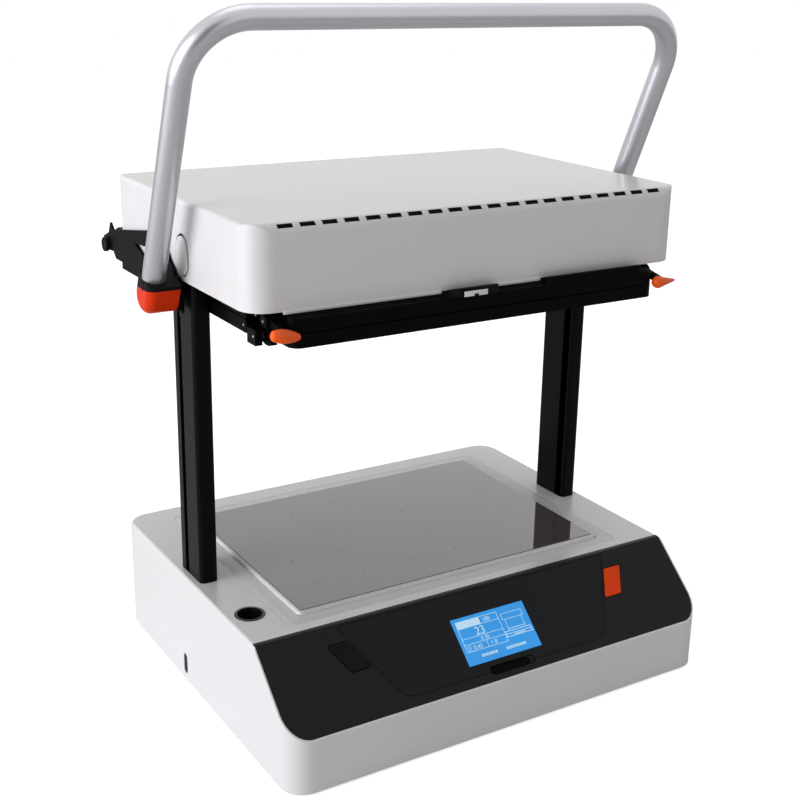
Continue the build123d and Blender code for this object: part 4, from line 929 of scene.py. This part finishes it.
under = [screw((x, y, BASE_BOTTOM), 2.6, "z", -1) for x, y in PLATE_SCREWS]
dress(join(under, "base_plate_screws"), "base", steel_plain)
behind = [
    screw((FAN_X + x, BASE_BACK, FAN_Z + z), 2.0, "y", 1)
    for x in (-FAN_SCREW_HALF, FAN_SCREW_HALF) for z in (-FAN_SCREW_HALF, FAN_SCREW_HALF)
]
dress(join(behind, "fan_screws"), "base", steel_plain)

# ---- floor, backdrop and lamps
# Places and sizes of the stage are in metres.
FLOOR_SIZE = 12
FLOOR_LIFT = 0.70
AMBIENT = 0.37
# The fill from the room is a little warm, and the window-like lamp on the left a little cool.
AMBIENT_COLOUR = (1.0, 0.965, 0.935, 1.0)
WINDOW_COLOUR = (0.95, 0.97, 1.0)
WHITE = (1, 1, 1, 1)
CARD_PLACE = Vector((-1.75, -2.75, 1.1))
CARD_AIM = Vector((0, 0, 0.4))
CARD_SIZE = (1.9, 3.4, 1)


def white_stage():
    """The floor: pale, keeps the machine's shadow, and reads white round it."""
    made, tree, output = new_material("studio_floor")
    path = add_node(tree, "ShaderNodeLightPath")
    paper = add_node(tree, "ShaderNodeBsdfDiffuse", {"Color": colour("#F4F4F4")})
    seen = add_node(
        tree, "ShaderNodeMath", {"operation": "MULTIPLY", 1: FLOOR_LIFT},
        {0: path.outputs["Is Camera Ray"]},
    )
    lift = add_node(
        tree, "ShaderNodeEmission", {"Color": WHITE}, {"Strength": seen.outputs["Value"]}
    )
    both = add_node(
        tree, "ShaderNodeAddShader", None, {0: paper.outputs["BSDF"], 1: lift.outputs["Emission"]}
    )
    tree.links.new(both.outputs["Shader"], output.inputs["Surface"])
    return made


start()
bpy.ops.mesh.primitive_plane_add(size=FLOOR_SIZE, location=(0, 0, 0))
floor = bpy.context.object
floor.name = "studio_floor"
floor.data.materials.append(white_stage())

# A dark card behind the camera, which only reflections see: it gives tube and blacks their depth.
start()
bpy.ops.mesh.primitive_plane_add(size=1, location=CARD_PLACE)
card = bpy.context.object
card.name = "studio_dark_card"
card.scale = CARD_SIZE
card.rotation_euler = (CARD_AIM - CARD_PLACE).to_track_quat("Z", "Y").to_euler()
card_paint, card_tree, card_out = new_material("studio_dark_card")
felt = add_node(card_tree, "ShaderNodeBsdfDiffuse", {"Color": colour("#1A1A1C")})
card_tree.links.new(felt.outputs["BSDF"], card_out.inputs["Surface"])
card.data.materials.append(card_paint)
card.visible_camera = False
card.visible_diffuse = False
card.visible_shadow = False
card.visible_transmission = False

# The world reads white to the camera and in reflections, and lights the machine less strongly.
world = bpy.data.worlds.new("studio")
bpy.context.scene.world = world
world.use_nodes = True
sky = world.node_tree
sky.nodes.clear()
sky_path = add_node(sky, "ShaderNodeLightPath")
seen = add_node(
    sky, "ShaderNodeMath", {"operation": "MAXIMUM"},
    {0: sky_path.outputs["Is Camera Ray"], 1: sky_path.outputs["Is Glossy Ray"]},
)
seen_through = add_node(
    sky, "ShaderNodeMath", {"operation": "MAXIMUM"},
    {0: seen.outputs["Value"], 1: sky_path.outputs["Is Transmission Ray"]},
)
strength = add_node(
    sky, "ShaderNodeMapRange", {"To Min": AMBIENT, "To Max": 1.0},
    {"Value": seen_through.outputs["Value"]},
)
warmth = add_node(
    sky, "ShaderNodeMix", {"data_type": "RGBA"}, {"Factor": seen_through.outputs["Value"]}
)
warmth.inputs["A"].default_value = AMBIENT_COLOUR
warmth.inputs["B"].default_value = WHITE
glow = add_node(
    sky, "ShaderNodeBackground", None,
    {"Strength": strength.outputs["Result"], "Color": colour_of(warmth)},
)
add_node(sky, "ShaderNodeOutputWorld", None, {"Surface": glow.outputs["Background"]})


def lamp(name, place, target, width, height, power, tone=(1, 1, 1)):
    """A soft rectangular lamp aimed at a point."""
    data = bpy.data.lights.new(name, "AREA")
    data.shape = "RECTANGLE"
    data.size = width
    data.size_y = height
    data.energy = power
    data.color = tone
    made = bpy.data.objects.new(name, data)
    aim = Vector(target) - Vector(place)
    made.rotation_euler = aim.to_track_quat("-Z", "Y").to_euler()
    made.location = place
    bpy.context.scene.collection.objects.link(made)


lamp("lamp_left", (-3.0, 0.1, 0.9), (0, 0, 0.25), 2.2, 2.0, 72, WINDOW_COLOUR)
lamp("lamp_top", (0.3, 0.6, 3.0), (0, 0.05, 0.3), 2.0, 2.0, 13)

bpy.context.view_layer.update()
